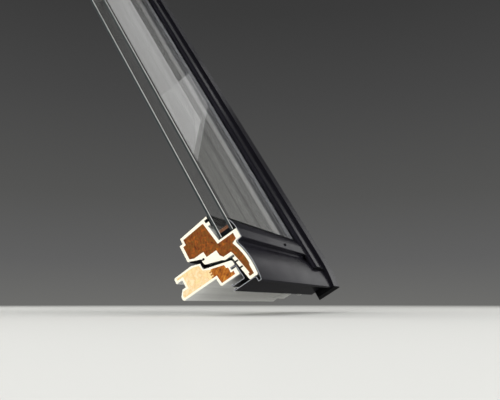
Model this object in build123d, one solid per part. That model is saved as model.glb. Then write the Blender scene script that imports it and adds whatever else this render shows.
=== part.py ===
from build123d import *
import math
import os

os.makedirs("parts", exist_ok=True)

# Right half of a top-hung roof window, cut along its middle so that every section shows.
# Window axes: X across the width from the cut, U up the roof, N out of the roof.
# A rail section is drawn as (u, n) points, where u = 0 is the outer edge of the glass spacer
# and a larger u lies nearer to the middle of the glass. All sizes are in millimetres.

# Whole window
ROOF_PITCH = 59.0
FRAME_HALF_WIDTH = 388.5
FRAME_HEIGHT = 978.0
FRAME_OUTER_U = -63.0

# Clearances, and the depth by which bodies moulded as one run into each other
FIT = 0.3
RUBBER_PLAY = 0.1
SHEET_GAP = 1.3
MERGE = 1.0
OVERCUT = 1.0

# Sealed glass unit
PANE = 4.0
CAVITY = 16.0
CAVITY_N = -9.0
PANE_EDGE_U = -5.5
SPACER_HEIGHT = 4.5
SPACER_WALL = 0.6
BUTYL = 0.5

# Sash rail, the same section on all sides
SASH_SKIN = 4.0
GASKET_LEAF = 2.0
GASKET_TAIL = 3.0
LEDGE_RISE = 4.3
LEDGE_EASE = 1.0
SIGHT_U = 33.5
SIGHT_BEVEL = 4.5
SASH_IN_N = -71.7
SASH_STEP = 5.7
SASH_STEP_U = 20.5
GROOVE_EDGE = 3.5
GROOVE_HEIGHT = 5.0
GROOVE_DEPTH = 5.5
NIB_HEIGHT = 5.0
UNDERCUT = 4.5
BLOCK_HEIGHT = 1.5
LEDGE_LOW_U = -20.5
SASH_BACK_N = -51.5

# Sloped seat of the weather gasket, and the groove of its bulb
SEAT_HIGH_U = -6.0
SEAT_LOW_U = -14.7
BULB_U = -16.5
BULB_N = -48.3
BULB_R = 1.8
BULB_NECK = 2.4

# Nose of the bottom rail: an apron that hangs over the frame
NOSE_RADIUS = 115.0
NOSE_CREST_U = -62.0
NOSE_CREST_N = 14.2
NOSE_TOP_U = -25.0
NOSE_LOW_U = -77.5
NOSE_BACK_HIGH_U = -39.0
NOSE_BACK_HIGH_N = -10.0
NOSE_BACK_LOW_N = -3.0
NOSE_ROUND = 1.8
SLOT_HEIGHT = 2.4
SLOT_DEPTH = 4.4
SLOT_HIGH_U = -46.0
SLOT_PITCH = 10.5

# Body of the bottom rail behind the nose
BODY_LOW_U = -35.5
BODY_BACK_N = -24.5
BODY_CHAMFER_RUN = 2.4
BODY_CHAMFER_RISE = 3.0
BODY_FOOT_RUN = 3.6
BODY_FOOT_RISE = 1.5

# Timber core of the sash ring, inside the moulding
CORE_STEP_SKIN = 3.6
CORE_IN_SKIN = 4.4
CORE_FLOOR_SKIN = 3.0
CORE_OUT_SKIN = 7.2
CORE_TOP_SKIN = 6.0
CORE_SEAT_EASE = 1.5
CORE_SEAT_LOW = 9.0
CORE_SEAT_HIGH = 8.0
CORE_SEAT_RISE = 11.4

# Timber blade inside the nose
BLADE_SHOULDER = 1.5
BLADE_STEP_RUN = 3.0
BLADE_STEP = 1.6
BLADE_TIP = 0.8
BLADE_SKIN = 3.0
BLADE_TOE = 2.2
BLADE_SHELF = 1.6
SHELF_SKIN = 5.0
BODY_CORE_RUN = 10.0

# Frame rail
FRAME_SKIN = 3.2
FRAME_IN_N = -104.0
FRAME_TOP_U = -14.0
FRAME_TOP_RISE = 4.0
FRAME_TOP_TAPER = 0.5
FRAME_TOP_DROP = 14.0
FRAME_EASE = 2.0
FRAME_OUT_N = -11.5
FRAME_TOE_FALL = 0.5
FRAME_STEP_N = -42.0
FRAME_STEP_FALL = 3.0
FRAME_BACK_U = -50.0
FRAME_SHOULDER_U = -19.0
FRAME_SHOULDER_N = -55.8
SHELF_RUN = 10.0
SHELF_STEP = 1.8
SHELF_EASE = 1.0
CHAMFER_LOW_U = -40.5
CHAMFER_LOW_N = -14.0
LINING_DEPTH = 12.7
LINING_HIGH_U = -23.3
LINING_LOW_U = -35.0
LINING_BEVEL_RUN = 8.0
LINING_BEVEL = 6.0
LINING_EASE = 1.0

# Timbers of the frame, and the comb joint that glues them together
COMB_N = -48.0
COMB_DEPTH = 3.4
COMB_PITCH = 4.0
COMB_TEETH = 3
PINE_IN_SKIN = 5.5
PINE_TOP_DROP = 13.0
PINE_SHOULDER = 1.5
PINE_SHELF_SKIN = 1.6
PINE_BACK_SKIN = 4.2
PINE_LINING_SKIN = 6.4
THERMO_BACK_SKIN = 1.6
THERMO_OUT_SKIN = 5.8
THERMO_TOE_RUN = 5.1
THERMO_TOE_DROP = 3.2
THERMO_SHELF_RUN = 6.4
THERMO_RAMP_RUN = 5.1
THERMO_RAMP_SKIN = 10.9
THERMO_TOP_SKIN = 11.5
THERMO_COMB_RISE = 4.1

# Frame upstand beside and above the sash
UPSTAND_SIDE_U = -25.5
UPSTAND_HEAD_U = -33.0
UPSTAND_N = 21.3
UPSTAND_ROOT = 5.0
UPSTAND_FOOT = 2.0
BATTEN_LOW_N = -8.0

# Aluminium sheet, its bends and hems
SHEET = 1.0
COVER = 1.2
BEND_R = 0.8
FOLD_R = 0.7
HEM = 4.0
HEM_GAP = 1.6
FLANGE_N = -30.5

# Bottom cover of the sash
LIP_U = 9.0
LEDGE_ARC_U = 2.0
LEDGE_ARC_FALL = 1.3
LEDGE_FLAT_U = -6.5
CREST_EASE = 1.0
NOTCH_U = -23.0
HOOK_U = -86.5
HOOK_HEIGHT = 3.5
HOOK_WIDTH = 5.0
HOOK_EASE = 1.5
HOOK_RISE = 2.5

# Frame flashing behind the nose
SILL_FLANGE_U = -71.8
BARB_N = -18.8
BARB_U = -49.3
BARB_NECK_U = -50.8
BARB_NECK_RISE = 0.7
BARB_PLAY_LOW = 1.6
BARB_PLAY_HIGH = 0.9
FLASHING_SEAT_U = -53.0
FLASHING_RISE = 1.5

# Outer glazing seals
SEAL_DEPTH = 3.0
LIP_SEAL = 0.8
SEAL_REACH = 5.5
SEAL_TIP = 0.4
SEAL_TIP_EASE = 0.5
SEAL_SHOULDER = 1.4
SEAL_SHOULDER_RUN = 1.2
SEAL_BACK_RUN = 0.6
SEAL_UNDER = 4.0
SEAL_UNDER_RISE = 0.6
SEAL_SPACER_RISE = 2.7
SEAL_REBATE_RISE = 3.2
UPPER_SEAL_REACH = 2.5
UPPER_SEAL_EASE = 0.4
UPPER_SEAL_RISE = 1.6
UPPER_SEAL_BACK = 2.0

# Side and head covers of the sash
COVER_SIGHT_U = 43.5
COVER_STEP_RISE = 0.8
COVER_SLOPE_RUN = 3.5
COVER_RIDGE_U = 34.5
COVER_RIDGE_N = 20.5
COVER_RIDGE_END_U = 14.0
COVER_LEG_N = 9.0
SASH_COVER_LOW = -50.0
END_CAP = 2.0

# Covers of the frame's upstand
COVER_WALL_N = 6.0
FRAME_COVER_LOW = -87.0
FRAME_COVER_DEPTH = 54.8
COVER_END_DROP = 6.5
COVER_END_RUN = 60.0
END_SLOPE = 10.0
HEAD_LIP = 2.4
HEAD_LIP_REACH = 0.8

# Rubber profiles between sash and frame
GASKET_GAP = 1.2
GASKET_ROUND = 1.0
GASKET_TIP_RISE = 3.0
GASKET_TIP_RUN = 1.4
GASKET_TIP_FALL = 0.8
GASKET_BELLY_DROP = 7.0
GASKET_BELLY_EASE = 0.6
GASKET_HEEL_RUN = 1.3
GASKET_HEEL_DROP = 0.5
GASKET_NECK_RUN = 1.0
STRIP = 2.0
STRIP_TOP = 1.2
STRIP_EASE = 0.5
BARB_HEIGHT = 4.0

# Lower corner of the frame, measured from its outer side
BRACKET_SEAT_WIDTH = 50.5
BRACKET_SEAT_HEIGHT = 40.0
DRIP_GROOVE_LENGTH = 113.5
DRIP_GROOVE_N = -88.0
DRIP_GROOVE_WIDTH = 1.4
DRIP_GROOVE_DEPTH = 2.0
BRACKET_HOLE_R = 2.0
BRACKET_HOLE_DEPTH = 24.0
BRACKET_HOLE_N = -76.0
BRACKET_HOLE_INSET = 66.5
BRACKET_HOLE_SPACING = 82.0

# Hinge at the head, measured from the frame's outer side
HINGE_INSET = 88.5
HINGE_WIDTH = 60.0
HINGE_N = 16.0
HINGE_LEAF = 2.0
HINGE_BARREL_R = 3.2
HINGE_PIN_R = 1.6
HINGE_PIN_PLAY = 0.05
HINGE_LEAF_LOW_N = -22.0
HINGE_FOOT_N = 5.6
HINGE_KNUCKLES = 3
HINGE_SCREW_N = -14.0
HINGE_SCREW_SPREAD = 20.0
KNUCKLE_GAP = 0.4

# Fasteners
SCREW_R = 1.9
SCREW_SIDES = 12
SCREW_LENGTH = 16.0
SCREW_HEAD_R = 3.6
SCREW_HEAD_HEIGHT = 1.7
SCREW_HEAD_SLOPE = 0.8
LEDGE_SCREW_HEAD_R = 2.6
LEDGE_SCREW_INSET = 205.5
LEDGE_SCREW_U = -13.0
SIDE_SCREW_COUNT = 3
SIDE_SCREW_END = 95.0
HEAD_SCREW_INSET = 148.5
WALL_SCREW_N = 2.0

# Setting blocks under the glass, measured from the cut and from the glass edge
BLOCK_LENGTH = 60.0
MIDDLE_BLOCK_X = 70.0
SIDE_BLOCK_INSET = 26.0

# Level of the origin in the frame's lower face
ORIGIN_N = -80.0

# Corners of the two rings: the datum lines of the side and head rails
SIDE_DATUM = FRAME_HALF_WIDTH + FRAME_OUTER_U
HEAD_DATUM = FRAME_HEIGHT + 2 * FRAME_OUTER_U
FRAME_HEAD_U = FRAME_OUTER_U + FRAME_HEIGHT
SASH_RIGHT_X = SIDE_DATUM - LEDGE_LOW_U
LIGHT_X = SIDE_DATUM - COVER_SIGHT_U

# Levels that follow from the sizes above
OUTER_PANE_N = CAVITY_N + CAVITY
GLASS_OUT_N = OUTER_PANE_N + PANE
GLASS_IN_N = CAVITY_N - PANE
REBATE_FLOOR_U = PANE_EDGE_U - BLOCK_HEIGHT
SASH_OUT_N = GLASS_OUT_N + LEDGE_RISE
LIP_N = GLASS_IN_N - GASKET_LEAF
GROOVE_TOP_U = SIGHT_U - GROOVE_EDGE
GROOVE_LOW_U = GROOVE_TOP_U - GROOVE_HEIGHT
NIB_LOW_U = GROOVE_LOW_U - NIB_HEIGHT
SASH_STEP_N = SASH_IN_N + SASH_STEP
SLOT_LEVELS = (SLOT_HIGH_U, SLOT_HIGH_U - SLOT_PITCH)
COMB_LOW_U = FRAME_BACK_U + FRAME_SKIN
COMB_HIGH_U = COMB_LOW_U + COMB_PITCH * COMB_TEETH
SHELF_U = FRAME_SHOULDER_U - SHELF_RUN
SHELF_N = FRAME_SHOULDER_N + SHELF_STEP
SEAL_N = GLASS_OUT_N + LIP_SEAL
COVER_SEAT_N = SASH_OUT_N + FIT
GLASS_X = SIDE_DATUM - PANE_EDGE_U

# Walls of the frame covers, each a fit away from the upstand
HINGE_Y = HEAD_DATUM - (UPSTAND_HEAD_U + LEDGE_LOW_U) / 2
WALL_IN_X = SIDE_DATUM - UPSTAND_SIDE_U - FIT
WALL_OUT_X = FRAME_HALF_WIDTH + FIT
HEAD_IN_Y = HINGE_Y - HEAD_LIP_REACH
HEAD_OUT_Y = FRAME_HEAD_U + FIT
FRAME_COVER_N = UPSTAND_N + FIT + COVER
COVER_LOW_N = FRAME_COVER_N - FRAME_COVER_DEPTH
CURVE_START_U = FRAME_COVER_LOW + COVER_END_RUN
END_RADIUS = (COVER_END_RUN**2 + COVER_END_DROP**2) / (2 * COVER_END_DROP)

LOW_MITRE = Plane(origin=(SIDE_DATUM, 0, 0), z_dir=(1, 1, 0))
HIGH_MITRE = Plane(origin=(SIDE_DATUM, HEAD_DATUM, 0), z_dir=(-1, 1, 0))
COVER_MITRE = Plane(
    origin=(WALL_OUT_X, HEAD_OUT_Y, 0),
    z_dir=(HEAD_IN_Y - HEAD_OUT_Y, WALL_OUT_X - WALL_IN_X, 0),
)


# Drawing helpers


def outline(points):
    """Face of a rail section from its corners."""
    return make_face(Polyline(*points, close=True))


def rect(u_low, u_high, n_low, n_high):
    """Rectangular section between two levels each way."""
    return outline([(u_low, n_low), (u_high, n_low), (u_high, n_high), (u_low, n_high)])


def sheet(edges, thickness):
    """Section of a folded sheet around its middle line."""
    path = Wire(edges)
    return Face(path.offset_2d(thickness / 2, kind=Kind.ARC, side=Side.BOTH))


def block(x_range, u_range, n_range):
    """Straight block between two levels on each window axis."""
    lows = (x_range[0], u_range[0], n_range[0])
    sizes = (x_range[1] - x_range[0], u_range[1] - u_range[0], n_range[1] - n_range[0])
    return Pos(*lows) * Box(*sizes, align=(Align.MIN, Align.MIN, Align.MIN))


# Rails: a section extruded along one side, or mitred into a ring


def bottom_leg(section, x_start, x_end):
    """Section extruded along the bottom rail."""
    plane = Plane(origin=(x_start, 0, 0), x_dir=(0, 1, 0), z_dir=(1, 0, 0))
    return extrude(plane * section, x_end - x_start)


def side_leg(section, u_start, u_end):
    """Section extruded along the side rail, measured from the side datum."""
    plane = Plane(origin=(SIDE_DATUM, u_start, 0), x_dir=(-1, 0, 0), z_dir=(0, 1, 0))
    return extrude(plane * section, u_end - u_start)


def head_leg(section, x_start, x_end):
    """Section extruded along the head rail, measured from the head datum."""
    plane = Plane(origin=(x_end, HEAD_DATUM, 0), x_dir=(0, -1, 0), z_dir=(-1, 0, 0))
    return extrude(plane * section, x_end - x_start)


def mitred_bottom(section):
    """Bottom length of a mitred ring."""
    leg = bottom_leg(section, 0, FRAME_HALF_WIDTH)
    return split(leg, bisect_by=LOW_MITRE, keep=Keep.BOTTOM)


def mitred_side(section):
    """Side length of a mitred ring."""
    leg = side_leg(section, FRAME_OUTER_U, FRAME_HEAD_U)
    leg = split(leg, bisect_by=LOW_MITRE, keep=Keep.TOP)
    return split(leg, bisect_by=HIGH_MITRE, keep=Keep.BOTTOM)


def mitred_head(section):
    """Head length of a mitred ring."""
    leg = head_leg(section, 0, FRAME_HALF_WIDTH)
    return split(leg, bisect_by=HIGH_MITRE, keep=Keep.TOP)


def ring(section):
    """One-piece ring of a section along bottom, side and head."""
    return mitred_bottom(section) + mitred_side(section) + mitred_head(section)


# Curve of the nose, and the line of its back


def nose_n(u, inset=0.0):
    """Height of the nose curve at u, inset below its outer surface."""
    radius = NOSE_RADIUS - inset
    return NOSE_CREST_N - NOSE_RADIUS + math.sqrt(radius**2 - (u - NOSE_CREST_U) ** 2)


def nose_arc(u_start, u_end, inset=0.0):
    """Arc of the nose between two levels, inset below its outer surface."""
    u_mid = (u_start + u_end) / 2
    points = [(u, nose_n(u, inset)) for u in (u_start, u_mid, u_end)]
    return ThreePointArc(*points)


def nose_back_n(u):
    """Level of the nose's back face at u."""
    share = (NOSE_BACK_HIGH_U - u) / (NOSE_BACK_HIGH_U - NOSE_LOW_U)
    return NOSE_BACK_HIGH_N + share * (NOSE_BACK_LOW_N - NOSE_BACK_HIGH_N)


# Sash sections


def sash_ring_section():
    """Sash rail from the sight edge to the outer ledge, with its gasket grooves."""
    points = [
        (SIGHT_U - SIGHT_BEVEL, SASH_STEP_N),
        (SIGHT_U, LIP_N),
        (GROOVE_TOP_U, LIP_N),
        (GROOVE_TOP_U, LIP_N - GROOVE_DEPTH),
        (GROOVE_LOW_U, LIP_N - GROOVE_DEPTH),
        (GROOVE_LOW_U, LIP_N),
        (NIB_LOW_U, LIP_N),
        (NIB_LOW_U, LIP_N - UNDERCUT),
        (REBATE_FLOOR_U, LIP_N),
        (REBATE_FLOOR_U, SASH_OUT_N),
        (LEDGE_LOW_U, SASH_OUT_N),
        (LEDGE_LOW_U, SASH_BACK_N),
        (SEAT_LOW_U, SASH_BACK_N),
        (SEAT_HIGH_U, SASH_IN_N),
        (SASH_STEP_U, SASH_IN_N),
        (SASH_STEP_U, SASH_STEP_N),
    ]
    half_neck = BULB_NECK / 2
    neck = rect(BULB_U - half_neck, BULB_U + half_neck, SASH_BACK_N - OVERCUT, BULB_N)
    return outline(points) - neck - Pos(BULB_U, BULB_N) * Circle(BULB_R)


def nose_section():
    """Lower body and nose that only the bottom rail of the sash has."""
    inset = SHEET + SHEET_GAP
    root_u = LEDGE_LOW_U + MERGE
    body_n = NOSE_BACK_HIGH_N + SASH_SKIN
    top_n = nose_n(NOSE_TOP_U, inset)
    arc = nose_arc(NOSE_TOP_U, NOSE_LOW_U, inset)
    line = Polyline(
        (NOSE_LOW_U, nose_n(NOSE_LOW_U, inset)),
        (NOSE_LOW_U, NOSE_BACK_LOW_N),
        (NOSE_BACK_HIGH_U, NOSE_BACK_HIGH_N),
        (NOSE_BACK_HIGH_U, body_n),
        (BODY_LOW_U, body_n),
        (BODY_LOW_U, BODY_BACK_N + BODY_CHAMFER_RISE),
        (BODY_LOW_U + BODY_CHAMFER_RUN, BODY_BACK_N),
        (LEDGE_LOW_U - BODY_FOOT_RUN, SASH_BACK_N + BODY_FOOT_RISE),
        (LEDGE_LOW_U, SASH_BACK_N),
        (root_u, SASH_BACK_N),
        (root_u, SASH_OUT_N - SASH_SKIN),
        (LEDGE_LOW_U, SASH_OUT_N),
        (LEDGE_LOW_U - LEDGE_EASE, top_n + LEDGE_EASE),
        (NOSE_TOP_U, top_n),
    )
    face = make_face([arc, line])
    tips = face.vertices().filter_by_position(Axis.X, NOSE_LOW_U - FIT, NOSE_LOW_U + FIT)
    face = fillet(tips, NOSE_ROUND)
    for level in SLOT_LEVELS:
        floor_n = nose_back_n(level) + SLOT_DEPTH
        mouth_n = NOSE_BACK_HIGH_N - SLOT_DEPTH
        face -= rect(level - SLOT_HEIGHT / 2, level + SLOT_HEIGHT / 2, mouth_n, floor_n)
    return face


def sash_core_section():
    """Timber core of the sash ring."""
    sight_u = SIGHT_U - SIGHT_BEVEL - SASH_SKIN
    step_u = SASH_STEP_U - SASH_SKIN
    floor_u = REBATE_FLOOR_U - CORE_FLOOR_SKIN
    back_u = LEDGE_LOW_U + SASH_SKIN
    out_n = SASH_OUT_N - CORE_OUT_SKIN
    return outline(
        [
            (sight_u, SASH_STEP_N + CORE_STEP_SKIN),
            (SIGHT_U - CORE_TOP_SKIN, LIP_N - GROOVE_DEPTH - SASH_SKIN),
            (floor_u, LIP_N - SASH_SKIN),
            (floor_u, out_n),
            (back_u, out_n),
            (back_u, SASH_BACK_N + CORE_SEAT_LOW),
            (SEAT_HIGH_U - CORE_SEAT_EASE, SASH_BACK_N + CORE_SEAT_HIGH),
            (SEAT_HIGH_U - CORE_SEAT_EASE, SASH_IN_N + CORE_SEAT_RISE),
            (SEAT_HIGH_U + CORE_SEAT_EASE, SASH_IN_N + CORE_IN_SKIN),
            (step_u, SASH_IN_N + CORE_IN_SKIN),
            (step_u, SASH_STEP_N + CORE_STEP_SKIN),
        ]
    )


def blade_section():
    """Timber blade that fills the nose of the bottom rail and joins its core."""
    inset = SHEET + SHEET_GAP + SASH_SKIN
    top_u = LEDGE_LOW_U + SASH_SKIN
    out_n = SASH_OUT_N - CORE_OUT_SKIN
    shoulder_u = LEDGE_LOW_U - BLADE_SHOULDER
    shelf_u = BODY_LOW_U + SHELF_SKIN
    step_u = NOSE_CREST_U + BLADE_STEP_RUN
    foot_u = NOSE_LOW_U + SASH_SKIN
    toe_u = foot_u + SASH_SKIN
    toe_n = nose_back_n(foot_u) + BLADE_SKIN
    arc = nose_arc(shoulder_u, step_u, inset)
    line = Polyline(
        (step_u, nose_n(step_u, inset)),
        (step_u, nose_n(step_u, inset) - BLADE_STEP),
        (foot_u, nose_n(foot_u, inset) - BLADE_TIP),
        (foot_u, toe_n),
        (toe_u, toe_n),
        (toe_u, toe_n + BLADE_TOE),
        (shelf_u - SASH_SKIN, nose_back_n(shelf_u) + SASH_SKIN + BLADE_SHELF),
        (shelf_u, nose_back_n(shelf_u) + SASH_SKIN),
        (shelf_u, BODY_BACK_N + SASH_SKIN),
        (BODY_LOW_U + BODY_CORE_RUN, BODY_BACK_N),
        (top_u, BODY_BACK_N - MERGE),
        (top_u, out_n),
        (LEDGE_LOW_U + BLADE_SHOULDER, out_n),
        (shoulder_u, nose_n(shoulder_u, inset)),
    )
    return make_face([arc, line])


# Frame sections


def comb_points():
    """Finger joint between the two timbers of the frame, from its high to its low end."""
    points = []
    for tooth in range(COMB_TEETH):
        start = COMB_HIGH_U - tooth * COMB_PITCH
        middle = start - COMB_PITCH / 2
        points += [
            (start, COMB_N + COMB_DEPTH / 2),
            (middle, COMB_N + COMB_DEPTH / 2),
            (middle, COMB_N - COMB_DEPTH / 2),
            (start - COMB_PITCH, COMB_N - COMB_DEPTH / 2),
        ]
    return points


def frame_ring_section():
    """Frame rail below the sash, with its lining groove."""
    groove_n = FRAME_IN_N + LINING_DEPTH
    bevel_u = LINING_LOW_U - LINING_EASE
    return outline(
        [
            (FRAME_TOP_U - FRAME_EASE, FRAME_IN_N + FRAME_EASE),
            (FRAME_TOP_U - FRAME_TOP_TAPER, FRAME_IN_N + FRAME_TOP_RISE),
            (FRAME_TOP_U, FRAME_SHOULDER_N - FRAME_TOP_DROP),
            (FRAME_SHOULDER_U, FRAME_SHOULDER_N),
            (SHELF_U + SHELF_EASE, FRAME_SHOULDER_N),
            (SHELF_U, SHELF_N),
            (CHAMFER_LOW_U, CHAMFER_LOW_N),
            (CHAMFER_LOW_U - FRAME_EASE, FRAME_OUT_N - FRAME_TOE_FALL),
            (FRAME_OUTER_U, FRAME_OUT_N),
            (FRAME_OUTER_U, FRAME_STEP_N),
            (FRAME_OUTER_U + FRAME_EASE, FRAME_STEP_N - FRAME_EASE),
            (FRAME_BACK_U, FRAME_STEP_N - FRAME_STEP_FALL),
            (FRAME_BACK_U, FRAME_IN_N + FRAME_EASE),
            (FRAME_BACK_U + FRAME_EASE, FRAME_IN_N),
            (LINING_LOW_U - LINING_BEVEL_RUN, FRAME_IN_N),
            (bevel_u, FRAME_IN_N + LINING_BEVEL),
            (LINING_LOW_U, FRAME_IN_N + LINING_BEVEL),
            (LINING_LOW_U, groove_n),
            (LINING_HIGH_U, groove_n),
            (LINING_HIGH_U, FRAME_IN_N + FRAME_EASE),
        ]
    )


def frame_pine_section():
    """Light timber on the room side of the frame."""
    top_u = FRAME_TOP_U - FRAME_SKIN
    in_n = FRAME_IN_N + PINE_IN_SKIN
    groove_n = FRAME_IN_N + LINING_DEPTH + FRAME_SKIN
    points = [
        (top_u, in_n),
        (top_u, FRAME_SHOULDER_N - PINE_TOP_DROP),
        (FRAME_SHOULDER_U - PINE_SHOULDER, FRAME_SHOULDER_N - FRAME_SKIN),
        (SHELF_U, FRAME_SHOULDER_N - PINE_SHELF_SKIN),
    ]
    points += comb_points()
    points += [
        (COMB_LOW_U, FRAME_IN_N + PINE_BACK_SKIN),
        (LINING_LOW_U - LINING_BEVEL_RUN, FRAME_IN_N + FRAME_SKIN),
        (LINING_LOW_U - FRAME_SKIN, FRAME_IN_N + PINE_LINING_SKIN),
        (LINING_LOW_U - FRAME_SKIN, groove_n),
        (LINING_HIGH_U + FRAME_SKIN, groove_n),
        (LINING_HIGH_U + FRAME_SKIN, in_n),
    ]
    return outline(points)


def frame_thermo_section():
    """Heat-treated timber on the weather side of the frame."""
    outer_u = FRAME_OUTER_U + FRAME_SKIN
    out_n = FRAME_OUT_N - THERMO_OUT_SKIN
    shelf_n = BARB_N - THERMO_TOE_DROP
    ramp_u = CHAMFER_LOW_U - THERMO_RAMP_RUN
    points = comb_points()
    points += [
        (COMB_LOW_U, FRAME_STEP_N),
        (outer_u, FRAME_STEP_N + THERMO_BACK_SKIN),
        (outer_u, out_n),
        (outer_u + THERMO_TOE_RUN, out_n),
        (outer_u + THERMO_TOE_RUN, shelf_n),
        (CHAMFER_LOW_U - THERMO_SHELF_RUN, shelf_n),
        (ramp_u, CHAMFER_LOW_N - THERMO_RAMP_SKIN),
        (CHAMFER_LOW_U, CHAMFER_LOW_N - THERMO_TOP_SKIN),
        (COMB_HIGH_U, COMB_N + THERMO_COMB_RISE),
    ]
    return outline(points)


def upstand_section(inner_u):
    """Upstand of the frame, from inside the rail up to the cover."""
    root_u = FRAME_BACK_U + UPSTAND_ROOT
    root_n = FRAME_SHOULDER_N - MERGE
    foot_n = FRAME_STEP_N + UPSTAND_FOOT
    return outline(
        [
            (inner_u, root_n),
            (root_u, root_n),
            (root_u, foot_n),
            (FRAME_OUTER_U, foot_n),
            (FRAME_OUTER_U, UPSTAND_N),
            (inner_u, UPSTAND_N),
        ]
    )


def batten_section(inner_u):
    """Timber batten inside the upstand."""
    low_u = FRAME_OUTER_U + FRAME_SKIN
    return rect(low_u, inner_u - FRAME_SKIN, BATTEN_LOW_N, UPSTAND_N - FRAME_SKIN)


# Sash and frame: one-piece mouldings around timber cores


def moulded_sash():
    """Sash moulding with its three mitred cores."""
    core = sash_core_section()
    blade = bottom_leg(blade_section(), 0, SASH_RIGHT_X - SASH_SKIN)
    cores = {
        "sash_core_bottom": mitred_bottom(core) + blade,
        "sash_core_side": mitred_side(core),
        "sash_core_head": mitred_head(core),
    }
    moulding = ring(sash_ring_section()) + bottom_leg(nose_section(), 0, SASH_RIGHT_X)
    for piece in cores.values():
        moulding -= piece
    return {"sash_moulding": moulding, **cores}


def moulded_frame():
    """Frame moulding with its glued timbers and the battens of its upstand."""
    pine = frame_pine_section()
    thermo = frame_thermo_section()
    upstand_side = side_leg(upstand_section(UPSTAND_SIDE_U), FRAME_OUTER_U, FRAME_HEAD_U)
    upstand_head = head_leg(upstand_section(UPSTAND_HEAD_U), 0, FRAME_HALF_WIDTH)
    side_batten = batten_section(UPSTAND_SIDE_U)
    side_batten_u = (FRAME_OUTER_U + FRAME_SKIN, FRAME_HEAD_U - FRAME_SKIN)
    head_batten = batten_section(UPSTAND_HEAD_U)
    head_batten_x = SIDE_DATUM - UPSTAND_SIDE_U + FRAME_SKIN
    cores = {
        "frame_pine_bottom": mitred_bottom(pine),
        "frame_pine_side": mitred_side(pine),
        "frame_pine_head": mitred_head(pine),
        "frame_thermo_bottom": mitred_bottom(thermo),
        "frame_thermo_side": mitred_side(thermo),
        "frame_thermo_head": mitred_head(thermo),
        "frame_batten_side": side_leg(side_batten, *side_batten_u),
        "frame_batten_head": head_leg(head_batten, 0, head_batten_x),
    }
    moulding = ring(frame_ring_section()) + upstand_side + upstand_head
    for piece in cores.values():
        moulding -= piece
    return {"frame_moulding": moulding, **cores}


# Glass and its bedding


def sealed_glass_unit():
    """Two panes, the hollow spacer bar and the sealant behind it."""
    glass_u = (PANE_EDGE_U, HEAD_DATUM - PANE_EDGE_U)
    low_n = CAVITY_N + BUTYL
    high_n = OUTER_PANE_N - BUTYL
    inside_u = SPACER_HEIGHT - SPACER_WALL
    inside_n = (low_n + SPACER_WALL, high_n - SPACER_WALL)
    spacer = rect(0, SPACER_HEIGHT, low_n, high_n) - rect(-OVERCUT, inside_u, *inside_n)
    sealant = rect(PANE_EDGE_U, 0, CAVITY_N, OUTER_PANE_N) + rect(0, inside_u, *inside_n)
    return {
        "glass_inner": block((0, GLASS_X), glass_u, (GLASS_IN_N, CAVITY_N)),
        "glass_outer": block((0, GLASS_X), glass_u, (OUTER_PANE_N, GLASS_OUT_N)),
        "glass_spacer": ring(spacer),
        "glass_edge_seal": ring(sealant),
    }


def glass_bedding():
    """Setting blocks under the glass and the gasket behind it."""
    block_n = (GLASS_IN_N, GLASS_OUT_N - SEAL_DEPTH - FIT)
    block_u = (REBATE_FLOOR_U, PANE_EDGE_U)
    middle_x = (MIDDLE_BLOCK_X, MIDDLE_BLOCK_X + BLOCK_LENGTH)
    side_end_x = GLASS_X - SIDE_BLOCK_INSET
    root = rect(GROOVE_LOW_U, GROOVE_TOP_U, LIP_N - GROOVE_DEPTH, LIP_N)
    leaf = rect(NIB_LOW_U - GASKET_TAIL, SIGHT_U - STRIP_EASE, LIP_N, GLASS_IN_N)
    return {
        "setting_block_middle": block(middle_x, block_u, block_n),
        "setting_block_side": block((side_end_x - BLOCK_LENGTH, side_end_x), block_u, block_n),
        "glazing_gasket": ring(root + leaf),
    }


def outer_glazing_seals():
    """Rubber between the outer pane and the lips of the sash covers."""
    lip_top_n = SEAL_N - RUBBER_PLAY / 2
    under_u = LIP_U - SEAL_UNDER
    bottom = outline(
        [
            (LIP_U + SEAL_REACH, GLASS_OUT_N),
            (LIP_U + SEAL_REACH - SEAL_TIP_EASE, GLASS_OUT_N + SEAL_TIP),
            (LIP_U + SEAL_SHOULDER_RUN, GLASS_OUT_N + SEAL_SHOULDER),
            (LIP_U + SEAL_BACK_RUN, lip_top_n),
            (under_u, lip_top_n),
            (under_u, SEAL_N + SEAL_UNDER_RISE),
            (0, GLASS_OUT_N + SEAL_SPACER_RISE),
            (REBATE_FLOOR_U, GLASS_OUT_N + SEAL_REBATE_RISE),
            (REBATE_FLOOR_U, GLASS_OUT_N - SEAL_DEPTH),
            (PANE_EDGE_U, GLASS_OUT_N - SEAL_DEPTH),
            (PANE_EDGE_U, GLASS_OUT_N),
        ]
    )
    back_u = COVER_SIGHT_U - COVER - RUBBER_PLAY
    upper = outline(
        [
            (COVER_SIGHT_U + UPPER_SEAL_REACH, GLASS_OUT_N),
            (COVER_SIGHT_U + UPPER_SEAL_EASE, GLASS_OUT_N + UPPER_SEAL_RISE),
            (COVER_SIGHT_U + RUBBER_PLAY, lip_top_n),
            (back_u, lip_top_n),
            (back_u, SEAL_N + UPPER_SEAL_RISE),
            (COVER_RIDGE_U + UPPER_SEAL_BACK, SEAL_N + UPPER_SEAL_RISE),
            (COVER_RIDGE_U, GLASS_OUT_N),
        ]
    )
    side = side_leg(upper, LIP_U + SEAL_REACH, FRAME_HEAD_U)
    side = split(side, bisect_by=HIGH_MITRE, keep=Keep.BOTTOM)
    return {
        "glazing_seal_bottom": bottom_leg(bottom, 0, LIGHT_X - FIT),
        "glazing_seal_upper": side + mitred_head(upper),
    }


# Folded covers of the sash


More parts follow.
